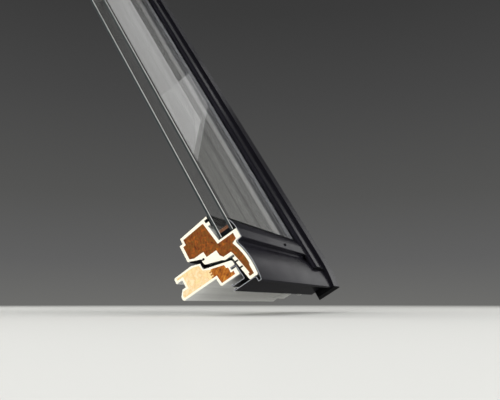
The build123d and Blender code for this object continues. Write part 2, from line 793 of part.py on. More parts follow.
def hem_points(flange_u):
    """Flange that runs back from the weather and folds into a hem."""
    end_n = FLANGE_N + SHEET / 2
    return [
        (flange_u, end_n),
        (flange_u + HEM_GAP, end_n),
        (flange_u + HEM_GAP, FLANGE_N + HEM),
    ]


def sash_bottom_cover():
    """One sheet from the glass over the ledge and the nose to its hem."""
    half = SHEET / 2
    lip_n = SEAL_N + half
    ledge_n = COVER_SEAT_N + half
    crest_u = LEDGE_LOW_U - FIT - half
    crest_n = nose_n(NOSE_TOP_U, half) + CREST_EASE
    hook_top_u = HOOK_U + HOOK_HEIGHT
    hook_in_n = nose_n(hook_top_u, half) - HOOK_WIDTH
    flange_u = NOSE_LOW_U - FIT - half
    ledge_mid = (LEDGE_ARC_U, ledge_n - LEDGE_ARC_FALL)
    ledge_arc = ThreePointArc((LIP_U, lip_n), ledge_mid, (LEDGE_FLAT_U, ledge_n))
    nose_curve = nose_arc(NOSE_TOP_U - CREST_EASE, hook_top_u, half)
    ledge_line = FilletPolyline(
        (LEDGE_FLAT_U, ledge_n),
        (crest_u, ledge_n),
        (crest_u - CREST_EASE, crest_n),
        nose_curve @ 0,
        radius=BEND_R,
    )
    hook_line = FilletPolyline(
        nose_curve @ 1,
        (HOOK_U + half, nose_n(HOOK_U, half)),
        (HOOK_U + half, hook_in_n),
        (flange_u - HOOK_EASE, hook_in_n),
        (flange_u, hook_in_n - HOOK_RISE),
        *hem_points(flange_u),
        radius=FOLD_R,
    )
    section = sheet([ledge_arc, *ledge_line.edges(), nose_curve, *hook_line.edges()], SHEET)
    side_clear = block(
        (LIGHT_X - FIT, SASH_RIGHT_X + FIT),
        (NOTCH_U, LIP_U + SHEET),
        (SEAL_N - COVER - FIT, UPSTAND_N),
    )
    return bottom_leg(section, 0, SASH_RIGHT_X) - side_clear


def upper_cover_section():
    """Side and head cover: a lip on the glass, a raised ridge and an outer leg."""
    half = COVER / 2
    seat_n = COVER_SEAT_N + half
    leg_u = LEDGE_LOW_U - FIT - half
    line = FilletPolyline(
        (COVER_SIGHT_U - half, SEAL_N + half),
        (COVER_SIGHT_U - half, seat_n),
        (COVER_RIDGE_U + half, seat_n + COVER_STEP_RISE),
        (COVER_RIDGE_U, COVER_RIDGE_N - half),
        (COVER_RIDGE_END_U, COVER_RIDGE_N - half),
        (LEDGE_LOW_U + COVER_SLOPE_RUN, seat_n),
        (leg_u, seat_n),
        (leg_u, COVER_LEG_N + half),
        radius=BEND_R,
    )
    return sheet(line.edges(), COVER)


def nose_clear_section():
    """Space of the nose and its cover under the side cover's lower end."""
    low_u = SASH_COVER_LOW - FIT
    high_u = LEDGE_LOW_U - FIT
    line = Polyline(
        (high_u, nose_n(high_u) + FIT),
        (high_u, 0),
        (low_u, 0),
        (low_u, nose_n(low_u) + FIT),
    )
    return make_face([Pos(0, FIT) * nose_arc(low_u, high_u), line])


def sash_upper_covers():
    """Side and head covers, mitred together, and the cap of the side cover's lower end."""
    section = upper_cover_section()
    side = side_leg(section, SASH_COVER_LOW, FRAME_HEAD_U)
    side = split(side, bisect_by=HIGH_MITRE, keep=Keep.BOTTOM)
    ledge = rect(NOSE_TOP_U, REBATE_FLOOR_U + FIT, SEAL_N - COVER, COVER_SEAT_N)
    for clear in (ledge, nose_clear_section()):
        side -= bottom_leg(clear, 0, SASH_RIGHT_X + FIT / 2)
    seat_n = COVER_SEAT_N + COVER
    leg_u = LEDGE_LOW_U - FIT - COVER
    low_n = nose_n(SASH_COVER_LOW - END_CAP) + FIT
    cap = outline(
        [
            (COVER_SIGHT_U, low_n),
            (COVER_SIGHT_U, seat_n),
            (COVER_RIDGE_U + COVER, seat_n + COVER_STEP_RISE),
            (COVER_RIDGE_U + COVER / 2, COVER_RIDGE_N),
            (COVER_RIDGE_END_U, COVER_RIDGE_N),
            (LEDGE_LOW_U + COVER_SLOPE_RUN, seat_n),
            (leg_u, seat_n),
            (leg_u, low_n),
        ]
    )
    return {
        "sash_cover_side": side,
        "sash_cover_head": mitred_head(section),
        "sash_cover_end": side_leg(cap, SASH_COVER_LOW - END_CAP, SASH_COVER_LOW),
    }


# Sheet work of the frame


def frame_flashing():
    """Sheet that hooks into the frame, covers its front and folds back in a hem."""
    seat_n = FRAME_OUT_N + FIT + SHEET
    line = FilletPolyline(
        (BARB_U, BARB_N),
        (BARB_NECK_U, FRAME_OUT_N + BARB_NECK_RISE),
        (FLASHING_SEAT_U, seat_n),
        (SILL_FLANGE_U, seat_n + FLASHING_RISE),
        *hem_points(SILL_FLANGE_U),
        radius=FOLD_R,
    )
    return bottom_leg(sheet(line.edges(), SHEET), 0, SASH_RIGHT_X)


def barb_slot():
    """Slot in the frame's front that takes the flashing's barb."""
    low_u = BARB_NECK_U - BARB_PLAY_LOW
    high_u = BARB_U + BARB_PLAY_HIGH
    return bottom_leg(rect(low_u, high_u, BARB_N - SHEET, 0), 0, SASH_RIGHT_X + FIT)


def drop_n(u, inset=0.0):
    """Level of the frame cover's top along its dropping end."""
    run = max(CURVE_START_U - u, 0.0)
    return FRAME_COVER_N - END_RADIUS + math.sqrt(END_RADIUS**2 - run**2) - inset


def cover_side_view(low_n, inset=0.0):
    """Outline of the frame's side cover in the U-N plane, below its top line."""
    end_u = HEAD_OUT_Y + 2 * COVER
    top_n = FRAME_COVER_N - inset
    mid_u = (FRAME_COVER_LOW + CURVE_START_U) / 2
    arc = ThreePointArc(
        (FRAME_COVER_LOW, drop_n(FRAME_COVER_LOW, inset)),
        (mid_u, drop_n(mid_u, inset)),
        (CURVE_START_U, top_n),
    )
    line = Polyline(
        (CURVE_START_U, top_n),
        (end_u, top_n),
        (end_u, low_n),
        (FRAME_COVER_LOW, low_n),
        (FRAME_COVER_LOW, drop_n(FRAME_COVER_LOW, inset)),
    )
    return make_face([arc, line])


def frame_side_cover():
    """Box-shaped sheet over the side upstand, its lower end dropping in a long curve."""
    low_n = COVER_LOW_N - OVERCUT
    cover = bottom_leg(cover_side_view(COVER_LOW_N), WALL_IN_X - COVER, WALL_OUT_X + COVER)
    long_edges = cover.edges().filter_by(Axis.Y)
    top_edges = long_edges.filter_by_position(Axis.Z, FRAME_COVER_N - FIT, FRAME_COVER_N + FIT)
    cover = fillet(top_edges, BEND_R)
    cover -= bottom_leg(cover_side_view(low_n, COVER), WALL_IN_X, WALL_OUT_X)
    cover -= block(
        (WALL_IN_X - COVER - OVERCUT, WALL_IN_X + OVERCUT),
        (FRAME_COVER_LOW - OVERCUT, HEAD_OUT_Y + COVER + OVERCUT),
        (low_n, COVER_WALL_N),
    )
    return split(cover, bisect_by=COVER_MITRE, keep=Keep.BOTTOM)


def frame_head_cover():
    """Sheet over the head upstand, with a lip that covers the hinge from the weather."""
    half = COVER / 2
    lip_u = HEAD_DATUM - HEAD_IN_Y + half
    wall_u = HEAD_DATUM - HEAD_OUT_Y - half
    line = FilletPolyline(
        (lip_u, FRAME_COVER_N - HEAD_LIP + half),
        (lip_u, FRAME_COVER_N - half),
        (wall_u, FRAME_COVER_N - half),
        (wall_u, COVER_LOW_N + half),
        radius=BEND_R,
    )
    cover = head_leg(sheet(line.edges(), COVER), 0, WALL_OUT_X + COVER)
    return split(cover, bisect_by=COVER_MITRE, keep=Keep.TOP)


def cover_end_clear():
    """What the dropping end of the side cover takes off the upstand's top."""
    x_range = (WALL_IN_X - COVER, WALL_OUT_X + COVER)
    top_n = FRAME_COVER_N + OVERCUT
    space = block(x_range, (FRAME_COVER_LOW, CURVE_START_U), (0, top_n))
    return space - bottom_leg(cover_side_view(COVER_LOW_N, COVER + FIT), *x_range)


def frame_cover_end():
    """End cap of the side cover: a plate with a sloped floor and an inner wall."""
    in_x = WALL_IN_X - COVER
    out_x = WALL_OUT_X + COVER
    in_n = COVER_LOW_N + END_SLOPE
    top_n = drop_n(FRAME_COVER_LOW)
    low_u = FRAME_COVER_LOW - END_CAP
    plate = outline(
        [
            (SIDE_DATUM - in_x, in_n),
            (SIDE_DATUM - out_x, COVER_LOW_N),
            (SIDE_DATUM - out_x, top_n),
            (SIDE_DATUM - in_x, top_n),
        ]
    )
    floor = outline(
        [
            (SIDE_DATUM - WALL_IN_X - FIT, in_n),
            (SIDE_DATUM - WALL_OUT_X + FIT, COVER_LOW_N),
            (SIDE_DATUM - WALL_OUT_X + FIT, COVER_LOW_N + END_CAP),
            (SIDE_DATUM - WALL_IN_X - FIT, in_n + END_CAP),
        ]
    )
    wall = block((in_x, WALL_IN_X), (low_u, FRAME_OUTER_U), (in_n, COVER_WALL_N))
    return side_leg(plate, low_u, FRAME_COVER_LOW) + side_leg(floor, low_u, FRAME_OUTER_U) + wall


# Rubber profiles between sash and frame


def weather_gasket():
    """Ring with a bulb in the sash's groove and a lip on its sloped seat."""
    half_neck = BULB_NECK / 2 - RUBBER_PLAY
    seat_n = SASH_BACK_N - RUBBER_PLAY
    tip_n = SASH_IN_N + GASKET_TIP_RISE
    back_u = SEAT_LOW_U - RUBBER_PLAY
    slope = (SEAT_HIGH_U - SEAT_LOW_U) / (SASH_IN_N - SASH_BACK_N)
    tip_u = back_u + slope * (tip_n - SASH_BACK_N)
    bulb = Pos(BULB_U, BULB_N) * Circle(BULB_R - RUBBER_PLAY)
    neck = rect(BULB_U - half_neck, BULB_U + half_neck, SASH_BACK_N - MERGE, BULB_N)
    lip = outline(
        [
            (back_u, seat_n),
            (tip_u, tip_n),
            (tip_u - GASKET_TIP_RUN, tip_n - GASKET_TIP_FALL),
            (FRAME_TOP_U - GASKET_BELLY_EASE, FRAME_SHOULDER_N - GASKET_BELLY_DROP),
            (FRAME_SHOULDER_U + GASKET_HEEL_RUN, FRAME_SHOULDER_N - GASKET_HEEL_DROP),
            (FRAME_SHOULDER_U + GASKET_NECK_RUN, seat_n),
        ]
    )
    return ring(bulb + neck + lip)


def frame_gasket():
    """Ring on the frame's shoulder that the sash closes onto."""
    low_u = UPSTAND_SIDE_U + FIT
    high_u = FRAME_SHOULDER_U - GASKET_NECK_RUN
    section = rect(low_u, high_u, FRAME_SHOULDER_N, SASH_BACK_N - GASKET_GAP)
    corners = section.vertices().sort_by(Axis.Y)[-2:]
    return ring(fillet(corners, GASKET_ROUND))


def sill_strip():
    """Strip on the sloped front of the bottom rail's shelf."""
    section = outline(
        [
            (SHELF_U, SHELF_N),
            (CHAMFER_LOW_U, CHAMFER_LOW_N),
            (CHAMFER_LOW_U + STRIP, CHAMFER_LOW_N),
            (SHELF_U + STRIP, SHELF_N),
        ]
    )
    return bottom_leg(Pos(RUBBER_PLAY, 0) * section, 0, WALL_IN_X)


def nose_gasket():
    """Strip on the back of the nose, held by two barbs in its slots."""
    low_u = NOSE_LOW_U + 2 * NOSE_ROUND
    high_u = NOSE_BACK_HIGH_U - STRIP_EASE
    section = outline(
        [
            (high_u, nose_back_n(high_u)),
            (low_u, nose_back_n(low_u)),
            (low_u, nose_back_n(low_u) - STRIP),
            (high_u, nose_back_n(high_u) - STRIP_TOP),
        ]
    )
    half = SLOT_HEIGHT / 2 - RUBBER_PLAY
    for level in SLOT_LEVELS:
        back_n = nose_back_n(level)
        section += rect(level - half, level + half, back_n - MERGE / 2, back_n + BARB_HEIGHT)
    return bottom_leg(section, 0, SASH_RIGHT_X)


# Hinge between the head of the sash and the upstand


def barrel(span, radius):
    """Cylinder around the hinge axis."""
    middle = (span[0] + span[1]) / 2
    return Pos(middle, HINGE_Y, HINGE_N) * Rot(Y=90) * Cylinder(radius, span[1] - span[0])


def knuckle_spans(leaf_x, first):
    """X ranges of every second knuckle, a gap short of its neighbours."""
    pitch = HINGE_WIDTH / HINGE_KNUCKLES
    lows = [leaf_x[0] + index * pitch for index in range(first, HINGE_KNUCKLES, 2)]
    return [(low + KNUCKLE_GAP / 2, low + pitch - KNUCKLE_GAP / 2) for low in lows]


def hinge_leaf(leaf_x, wall_y, toward, first):
    """Leaf on a wall at wall_y with feet that carry its knuckles round the pin."""
    leaf_y = sorted((wall_y, wall_y + toward * HINGE_LEAF))
    foot_y = sorted((wall_y, HINGE_Y + toward * HINGE_LEAF / 2))
    riser_y = (HINGE_Y - HINGE_LEAF / 2, HINGE_Y + HINGE_LEAF / 2)
    leaf = block(leaf_x, leaf_y, (HINGE_LEAF_LOW_N, HINGE_FOOT_N))
    for span in knuckle_spans(leaf_x, first):
        leaf += block(span, foot_y, (HINGE_FOOT_N - HINGE_LEAF, HINGE_FOOT_N))
        leaf += block(span, riser_y, (HINGE_FOOT_N - HINGE_LEAF, HINGE_N))
        leaf += barrel(span, HINGE_BARREL_R)
    return leaf - barrel(leaf_x, HINGE_PIN_R + HINGE_PIN_PLAY)


def hinge():
    """Two leaves and their pin."""
    middle_x = FRAME_HALF_WIDTH - HINGE_INSET
    leaf_x = (middle_x - HINGE_WIDTH / 2, middle_x + HINGE_WIDTH / 2)
    return {
        "hinge_side_sash_leaf": hinge_leaf(leaf_x, HEAD_DATUM - LEDGE_LOW_U, 1, 0),
        "hinge_side_frame_leaf": hinge_leaf(leaf_x, HEAD_DATUM - UPSTAND_HEAD_U, -1, 1),
        "hinge_side_pin": barrel(leaf_x, HINGE_PIN_R),
    }


# Screws, each seated on the face that it holds


def screw(head_r):
    """Pan-head screw with its seat at the origin, its head along +Z and a shank of many flats."""
    shank = extrude(RegularPolygon(SCREW_R, SCREW_SIDES), -SCREW_LENGTH)
    top_r = head_r - SCREW_HEAD_SLOPE
    head_align = (Align.CENTER, Align.CENTER, Align.MIN)
    return shank + Cone(head_r, top_r, SCREW_HEAD_HEIGHT, align=head_align)


def hinge_screws(leaf_y, turn):
    """Screws through one hinge leaf, their heads on its face."""
    middle_x = FRAME_HALF_WIDTH - HINGE_INSET
    levels = (middle_x - HINGE_SCREW_SPREAD, middle_x + HINGE_SCREW_SPREAD)
    return [Pos(x, leaf_y, HINGE_SCREW_N) * turn * screw(SCREW_HEAD_R) for x in levels]


def frame_cover_screws():
    """Screws through the outer walls of the frame's side and head covers."""
    pitch = (FRAME_HEIGHT - 2 * SIDE_SCREW_END) / (SIDE_SCREW_COUNT - 1)
    first_u = FRAME_OUTER_U + SIDE_SCREW_END
    places = [
        Pos(WALL_OUT_X + COVER, first_u + index * pitch, WALL_SCREW_N) * Rot(Y=90)
        for index in range(SIDE_SCREW_COUNT)
    ]
    head_x = FRAME_HALF_WIDTH - HEAD_SCREW_INSET
    places.append(Pos(head_x, HEAD_OUT_Y + COVER, WALL_SCREW_N) * Rot(X=-90))
    return [place * screw(SCREW_HEAD_R) for place in places]


def ledge_screw():
    """Small screw that holds the bottom cover on its ledge."""
    x = FRAME_HALF_WIDTH - LEDGE_SCREW_INSET
    return Pos(x, LEDGE_SCREW_U, COVER_SEAT_N + SHEET) * screw(LEDGE_SCREW_HEAD_R)


def fasten(pieces):
    """Add the screws and cut their holes in the pieces that they pass through."""
    sash_leaf_y = HEAD_DATUM - LEDGE_LOW_U + HINGE_LEAF
    frame_leaf_y = HEAD_DATUM - UPSTAND_HEAD_U - HINGE_LEAF
    fasteners = {
        "hinge_sash_screws": hinge_screws(sash_leaf_y, Rot(X=-90)),
        "hinge_frame_screws": hinge_screws(frame_leaf_y, Rot(X=90)),
        "frame_cover_screws": frame_cover_screws(),
        "ledge_screw": [ledge_screw()],
    }
    held = {
        "hinge_sash_screws": ("hinge_side_sash_leaf", "sash_moulding", "sash_core_head"),
        "hinge_frame_screws": ("hinge_side_frame_leaf", "frame_moulding", "frame_batten_head"),
        "frame_cover_screws": (
            "frame_cover_side",
            "frame_cover_head",
            "frame_moulding",
            "frame_batten_side",
            "frame_batten_head",
        ),
        "ledge_screw": ("sash_cover_bottom", "sash_moulding", "sash_core_bottom"),
    }
    for name, screws in fasteners.items():
        for target in held[name]:
            for item in screws:
                pieces[target] = pieces[target] - item
        pieces[name] = Part() + screws


# Lower corner of the frame


def bracket_seat():
    """Recess for the bracket at the frame's lower corner."""
    return block(
        (FRAME_HALF_WIDTH - BRACKET_SEAT_WIDTH, FRAME_HALF_WIDTH + OVERCUT),
        (FRAME_BACK_U - OVERCUT, FRAME_BACK_U + BRACKET_SEAT_HEIGHT),
        (FRAME_IN_N - OVERCUT, FRAME_IN_N + LINING_DEPTH),
    )


def drip_groove():
    """Shallow groove in the frame's lower face."""
    return block(
        (FRAME_HALF_WIDTH - DRIP_GROOVE_LENGTH, FRAME_HALF_WIDTH + OVERCUT),
        (FRAME_BACK_U - OVERCUT, FRAME_BACK_U + DRIP_GROOVE_DEPTH),
        (DRIP_GROOVE_N, DRIP_GROOVE_N + DRIP_GROOVE_WIDTH),
    )


def bracket_drills():
    """Blind screw holes in the frame's lower face."""
    side_x = FRAME_HALF_WIDTH - BRACKET_HOLE_INSET
    plane = Plane(origin=(0, FRAME_BACK_U, 0), x_dir=(1, 0, 0), z_dir=(0, 1, 0))
    levels = (side_x, side_x - BRACKET_HOLE_SPACING)
    holes = [Pos(x, -BRACKET_HOLE_N) * Circle(BRACKET_HOLE_R) for x in levels]
    return extrude(plane * (Sketch() + holes), BRACKET_HOLE_DEPTH)


def finish_frame(pieces):
    """Cut the lower corner's recesses and the flashing's slot."""
    cuts = (bracket_seat(), bracket_drills())
    for cut in (*cuts, drip_groove(), barb_slot(), cover_end_clear()):
        pieces["frame_moulding"] = pieces["frame_moulding"] - cut
    for cut in cuts:
        pieces["frame_pine_bottom"] = pieces["frame_pine_bottom"] - cut
        pieces["frame_pine_side"] = pieces["frame_pine_side"] - cut


# The whole window, tilted to the pitch of the roof


def window():
    """Every piece of the half window in window axes."""
    pieces = {}
    pieces.update(moulded_sash())
    pieces.update(moulded_frame())
    pieces.update(sealed_glass_unit())
    pieces.update(glass_bedding())
    pieces.update(outer_glazing_seals())
    pieces["sash_cover_bottom"] = sash_bottom_cover()
    pieces.update(sash_upper_covers())
    pieces["frame_flashing"] = frame_flashing()
    pieces["frame_cover_side"] = frame_side_cover()
    pieces["frame_cover_head"] = frame_head_cover()
    pieces["frame_cover_end"] = frame_cover_end()
    pieces["weather_gasket"] = weather_gasket()
    pieces["frame_gasket"] = frame_gasket()
    pieces["sill_strip"] = sill_strip()
    pieces["nose_gasket"] = nose_gasket()
    pieces.update(hinge())
    fasten(pieces)
    finish_frame(pieces)
    return pieces


place = Rot(X=ROOF_PITCH) * Pos(-FRAME_HALF_WIDTH / 2, -FRAME_BACK_U, -ORIGIN_N)
for name, shape in window().items():
    export_step(place * Compound(shape.solids()), f"parts/{name}.step")
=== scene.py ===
"""Dresses the cut-away half roof window: timber, moulded skin, glass, coated sheet and rubber."""

import logging
import math
from abc import ABC, abstractmethod
from dataclasses import dataclass, replace
from enum import Enum
from typing import Any, Iterable, Mapping, Sequence

import bmesh
import bpy
from mathutils import Matrix, Vector


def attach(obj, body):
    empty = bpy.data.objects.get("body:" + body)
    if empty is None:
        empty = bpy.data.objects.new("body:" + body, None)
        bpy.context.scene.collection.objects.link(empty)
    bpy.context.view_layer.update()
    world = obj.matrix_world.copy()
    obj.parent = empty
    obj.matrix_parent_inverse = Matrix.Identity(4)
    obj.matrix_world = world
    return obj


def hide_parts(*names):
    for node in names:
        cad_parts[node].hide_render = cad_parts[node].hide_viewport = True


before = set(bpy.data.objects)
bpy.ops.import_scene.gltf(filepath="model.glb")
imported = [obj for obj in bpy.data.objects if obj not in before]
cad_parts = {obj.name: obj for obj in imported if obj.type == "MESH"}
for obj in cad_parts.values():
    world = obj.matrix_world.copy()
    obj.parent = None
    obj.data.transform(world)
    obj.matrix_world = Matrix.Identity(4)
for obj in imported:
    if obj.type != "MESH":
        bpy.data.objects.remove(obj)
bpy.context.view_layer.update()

log = logging.getLogger("roof_window")

Colour = tuple[float, float, float, float]
Place = tuple[float, float, float]
Socket = bpy.types.NodeSocket
Stops = Sequence[tuple[float, str]]

MM = 0.001
ROOF_PITCH = math.radians(59.0)
# The window's own axes run across it from the cut, up the roof and out of the roof.
WINDOW_ORIGIN = Vector((194.25, -50.0, -80.0)) * MM
GLASS_FACE_MM = 11.0
# A face that lies this close to the cut is one that the saw left.
CUT_DEPTH_MM = 0.1
# Points of a mesh that lie closer than this are one point, in metres.
WELD = 1e-6


class Axis(Enum):
    """The window's own axes, by their name on a node's socket."""

    ACROSS = "X"
    UP = "Y"
    OUT = "Z"


class Side(Enum):
    """Side of a level that a zone lies on, by the comparison that finds it."""

    BELOW = "LESS_THAN"
    ABOVE = "GREATER_THAN"


def linear(hex_colour: str) -> Colour:
    """Turns an sRGB hex colour into linear RGBA.

    Args:
        hex_colour: Six hex digits, with or without a leading hash.

    Returns:
        Linear red, green and blue, and an alpha of one.
    """
    digits = hex_colour.lstrip("#")
    channels = []
    for start in (0, 2, 4):
        value = int(digits[start : start + 2], 16) / 255
        if value <= 0.04045:
            channels.append(value / 12.92)
        else:
            channels.append(((value + 0.055) / 1.055) ** 2.4)
    return (channels[0], channels[1], channels[2], 1.0)


def pattern_scale(size_mm: float) -> float:
    """Gives the scale at which a pattern repeats about once in a real size.

    Args:
        size_mm: Size of one repeat.

    Returns:
        The scale for a noise or cell texture over metres.
    """
    return 1 / (size_mm * MM)


def window_point(across_mm: float, up_mm: float, out_mm: float) -> Vector:
    """Gives a place stated on the window's own axes in the scene's metres.

    Args:
        across_mm: Distance from the cut, across the window.
        up_mm: Distance up the roof from the spacer's outer edge.
        out_mm: Height out of the roof.

    Returns:
        The point in the scene.
    """
    local = Vector((across_mm, up_mm, out_mm)) * MM - WINDOW_ORIGIN
    return Matrix.Rotation(ROOF_PITCH, 3, "X") @ local


def fill(
    tree: bpy.types.NodeTree,
    node: bpy.types.Node,
    settings: Mapping[int | str, Any],
    links: Mapping[int | str, Socket],
) -> None:
    """Sets a node's values and feeds its inputs.

    Args:
        tree: The node's tree.
        node: The node.
        settings: Values by name or number: a property of the node, or else one of its inputs.
        links: Output sockets by the input, named or numbered, that each one feeds.
    """
    for name, value in settings.items():
        if isinstance(name, str) and hasattr(node, name):
            setattr(node, name, value)
        else:
            node.inputs[name].default_value = value
    for name, socket in links.items():
        tree.links.new(socket, node.inputs[name])


def add_node(
    tree: bpy.types.NodeTree,
    kind: str,
    settings: Mapping[int | str, Any] | None = None,
    links: Mapping[int | str, Socket] | None = None,
    stops: Stops = (),
) -> bpy.types.Node:
    """Adds a node with its settings, its links and, on a colour ramp, its stops.

    Args:
        tree: The node tree that gets the node.
        kind: The node's type name.
        settings: Values by name or number: a property of the node, or else one of its inputs.
        links: Output sockets by the input, named or numbered, that each one feeds.
        stops: Pairs of a position from 0 to 1 and an sRGB hex colour.

    Returns:
        The new node.
    """
    node = tree.nodes.new(kind)
    fill(tree, node, settings or {}, links or {})
    for index, (position, colour) in enumerate(stops):
        elements = node.color_ramp.elements
        element = elements[index] if index < len(elements) else elements.new(position)
        element.position = position
        element.color = linear(colour)
    return node


def window_coordinates(tree: bpy.types.NodeTree) -> Socket:
    """Gives a piece's own coordinates turned to the window's axes, in metres.

    Args:
        tree: The node tree that gets the nodes.

    Returns:
        The socket with the coordinates.
    """
    coords = add_node(tree, "ShaderNodeTexCoord")
    mapping = add_node(
        tree,
        "ShaderNodeMapping",
        {"Rotation": (-ROOF_PITCH, 0.0, 0.0), "Location": tuple(WINDOW_ORIGIN)},
        {"Vector": coords.outputs["Object"]},
    )
    return mapping.outputs["Vector"]


@dataclass(frozen=True)
class Surface:
    """What a finish is painted on: a material's nodes and the window coordinates, in metres."""

    tree: bpy.types.NodeTree
    shader: bpy.types.Node
    place: Socket

    def zone(self, *limits: tuple[Axis, Side, float]) -> Socket:
        """Gives 1 where the surface lies within every limit, and 0 elsewhere.

        Args:
            limits: An axis, the side of a level that counts, and the level in mm, for each.

        Returns:
            The socket with the mask.
        """
        split = add_node(self.tree, "ShaderNodeSeparateXYZ", links={"Vector": self.place})
        masks = []
        for axis, side, level_mm in limits:
            settings = {"operation": side.value, 1: level_mm * MM}
            within = add_node(
                self.tree, "ShaderNodeMath", settings, {0: split.outputs[axis.value]}
            )
            masks.append(within.outputs["Value"])
        while len(masks) > 1:
            pair = {0: masks.pop(), 1: masks.pop()}
            both = add_node(self.tree, "ShaderNodeMath", {"operation": "MULTIPLY"}, pair)
            masks.append(both.outputs["Value"])
        return masks[0]

    def sawn(self) -> Socket:
        """Gives 1 on the face that the saw left, and 0 on every other face."""
        return self.zone((Axis.ACROSS, Side.BELOW, CUT_DEPTH_MM))

    def mottle(
        self,
        size_mm: float,
        stops: Stops,
        settings: Mapping[int | str, Any],
        place: Socket | None = None,
    ) -> tuple[Socket, Socket]:
        """Gives tones that drift into each other in clouds of a real size.

        Args:
            size_mm: Size of a cloud.
            stops: The tones, by the noise that places them.
            settings: The noise's other values.
            place: Coordinates to use instead of the window's own.

        Returns:
            The socket with the colour, and the one with the noise.
        """
        noise = add_node(
            self.tree,
            "ShaderNodeTexNoise",
            {"Scale": pattern_scale(size_mm), **settings},
            {"Vector": place or self.place},
        )
        value = noise.outputs["Fac"]
        tones = add_node(self.tree, "ShaderNodeValToRGB", links={"Fac": value}, stops=stops)
        return tones.outputs["Color"], value

    def relief(
        self,
        size_mm: float,
        depth_mm: float,
        strength: float,
        detail: float,
        arris_mm: float = 0.0,
    ) -> Socket:
        """Gives the normal of a fine relief, over edges that are eased where asked.

        Args:
            size_mm: Size of the relief's pattern.
            depth_mm: How deep it is.
            strength: How much of its slope shows, up to 1.
            detail: How many finer layers it has.
            arris_mm: Radius to which the edges under it are eased, or 0 to keep them sharp.

        Returns:
            The socket with the normal.
        """
        noise = add_node(
            self.tree,
            "ShaderNodeTexNoise",
            {"Scale": pattern_scale(size_mm), "Detail": detail},
            {"Vector": self.place},
        )
        bump = add_node(
            self.tree,
            "ShaderNodeBump",
            {"Strength": strength, "Distance": depth_mm * MM},
            {"Height": noise.outputs["Fac"]},
        )
        if not arris_mm:
            return bump.outputs["Normal"]
        arris = add_node(
            self.tree,
            "ShaderNodeBevel",
            {"samples": 4, "Radius": arris_mm * MM},
            {"Normal": bump.outputs["Normal"]},
        )
        return arris.outputs["Normal"]


@dataclass(frozen=True)
class Finish(ABC):
    """What a piece is made of and how its surface was made."""

    name: str

    def material(self) -> bpy.types.Material:
        """Makes the finish's node material.

        Returns:
            The new material.
        """
        material = bpy.data.materials.new(self.name)
        material.use_nodes = True
        tree = material.node_tree
        self.paint(Surface(tree, tree.nodes["Principled BSDF"], window_coordinates(tree)))
        return material

    @abstractmethod
    def paint(self, surface: Surface) -> None:
        """Builds the finish's nodes.

        Args:
            surface: What they are added to.
        """


@dataclass(frozen=True)
class PlanedTimber(Finish):
    """Planed softwood.

    On the sawn end the eye reads patches of hue, soft growth rings and dark pores, and on the
    long faces straight fibres. The planed face is dull, with a fine relief along the fibres.
    """

    tones: tuple[str, ...]
    late_wood: str
    pith_mm: Place
    ring_mm: float
    patch_mm: float
    ring_strength: float = 0.5
    pore_strength: float = 0.7
    pore: str = "#b4a498"
    fibre_mm: float = 0.8
    relief_mm: float = 0.15
    grain: Axis = Axis.ACROSS
    # Along the grain a pattern's scale is this share of what it is across it.
    grain_share: float = 0.05
    # Where the patches' tones start on the noise, and over how much of it they spread.
    tones_from: float = 0.35
    tones_over: float = 0.3
    roughness: float = 0.6
    ior: float = 1.53
    specular: float = 0.3

    def along(self, grain: Axis) -> "PlanedTimber":
        """Gives the same timber with its fibres along one of the window's axes."""
        return replace(self, name=f"{self.name}_{grain.name.lower()}", grain=grain)

    def paint(self, surface: Surface) -> None:
        """Paints patches, rings and fibres over each other.

        Args:
            surface: What the nodes are added to.
        """
        tree = surface.tree
        shares = [self.grain_share if axis is self.grain else 1.0 for axis in Axis]
        stretched = add_node(
            tree, "ShaderNodeMapping", {"Scale": shares}, {"Vector": surface.place}
        )
        step = self.tones_over / (len(self.tones) - 1)
        hue, _ = surface.mottle(
            self.patch_mm,
            [(self.tones_from + index * step, tone) for index, tone in enumerate(self.tones)],
            {"Detail": 5.0, "Roughness": 0.62, "Distortion": 0.6},
            stretched.outputs["Vector"],
        )
        pith = tuple(-value * MM for value in self.pith_mm)
        about_pith = add_node(
            tree, "ShaderNodeMapping", {"Location": pith}, {"Vector": surface.place}
        )
        rings = add_node(
            tree,
            "ShaderNodeTexWave",
            {
                "wave_type": "RINGS",
                "rings_direction": self.grain.value,
                "wave_profile": "SAW",
                # A wave of scale 1 repeats every 2*pi/20 m.
                "Scale": 2 * math.pi / 20 / (self.ring_mm * MM),
                "Distortion": 9.0,
                "Detail": 4.0,
                "Detail Scale": 0.8,
                "Detail Roughness": 0.6,
            },
            {"Vector": about_pith.outputs["Vector"]},
        )
        ring_tint = add_node(
            tree,
            "ShaderNodeValToRGB",
            links={"Fac": rings.outputs["Fac"]},
            stops=((0.0, "#ffffff"), (0.55, "#ffffff"), (0.92, self.late_wood)),
        )
        ringed = add_node(
            tree,
            "ShaderNodeMix",
            {"data_type": "RGBA", "blend_type": "MULTIPLY", 0: self.ring_strength},
            {6: hue, 7: ring_tint.outputs["Color"]},
        )
        pores, fibres = surface.mottle(
            self.fibre_mm,
            ((0.34, self.pore), (0.5, "#ffffff")),
            {"Detail": 3.0, "Roughness": 0.65},
            stretched.outputs["Vector"],
        )
        grained = add_node(
            tree,
            "ShaderNodeMix",
            {"data_type": "RGBA", "blend_type": "MULTIPLY", 0: self.pore_strength},
            {6: ringed.outputs[2], 7: pores},
        )
        relief = add_node(
            tree,
            "ShaderNodeBump",
            {"Strength": 0.4, "Distance": self.relief_mm * MM},
            {"Height": fibres},
        )
        fill(
            tree,
            surface.shader,
            {
                "Roughness": self.roughness,
                "IOR": self.ior,
                "Specular IOR Level": self.specular,
            },
            {"Base Color": grained.outputs[2], "Normal": relief.outputs["Normal"]},
        )


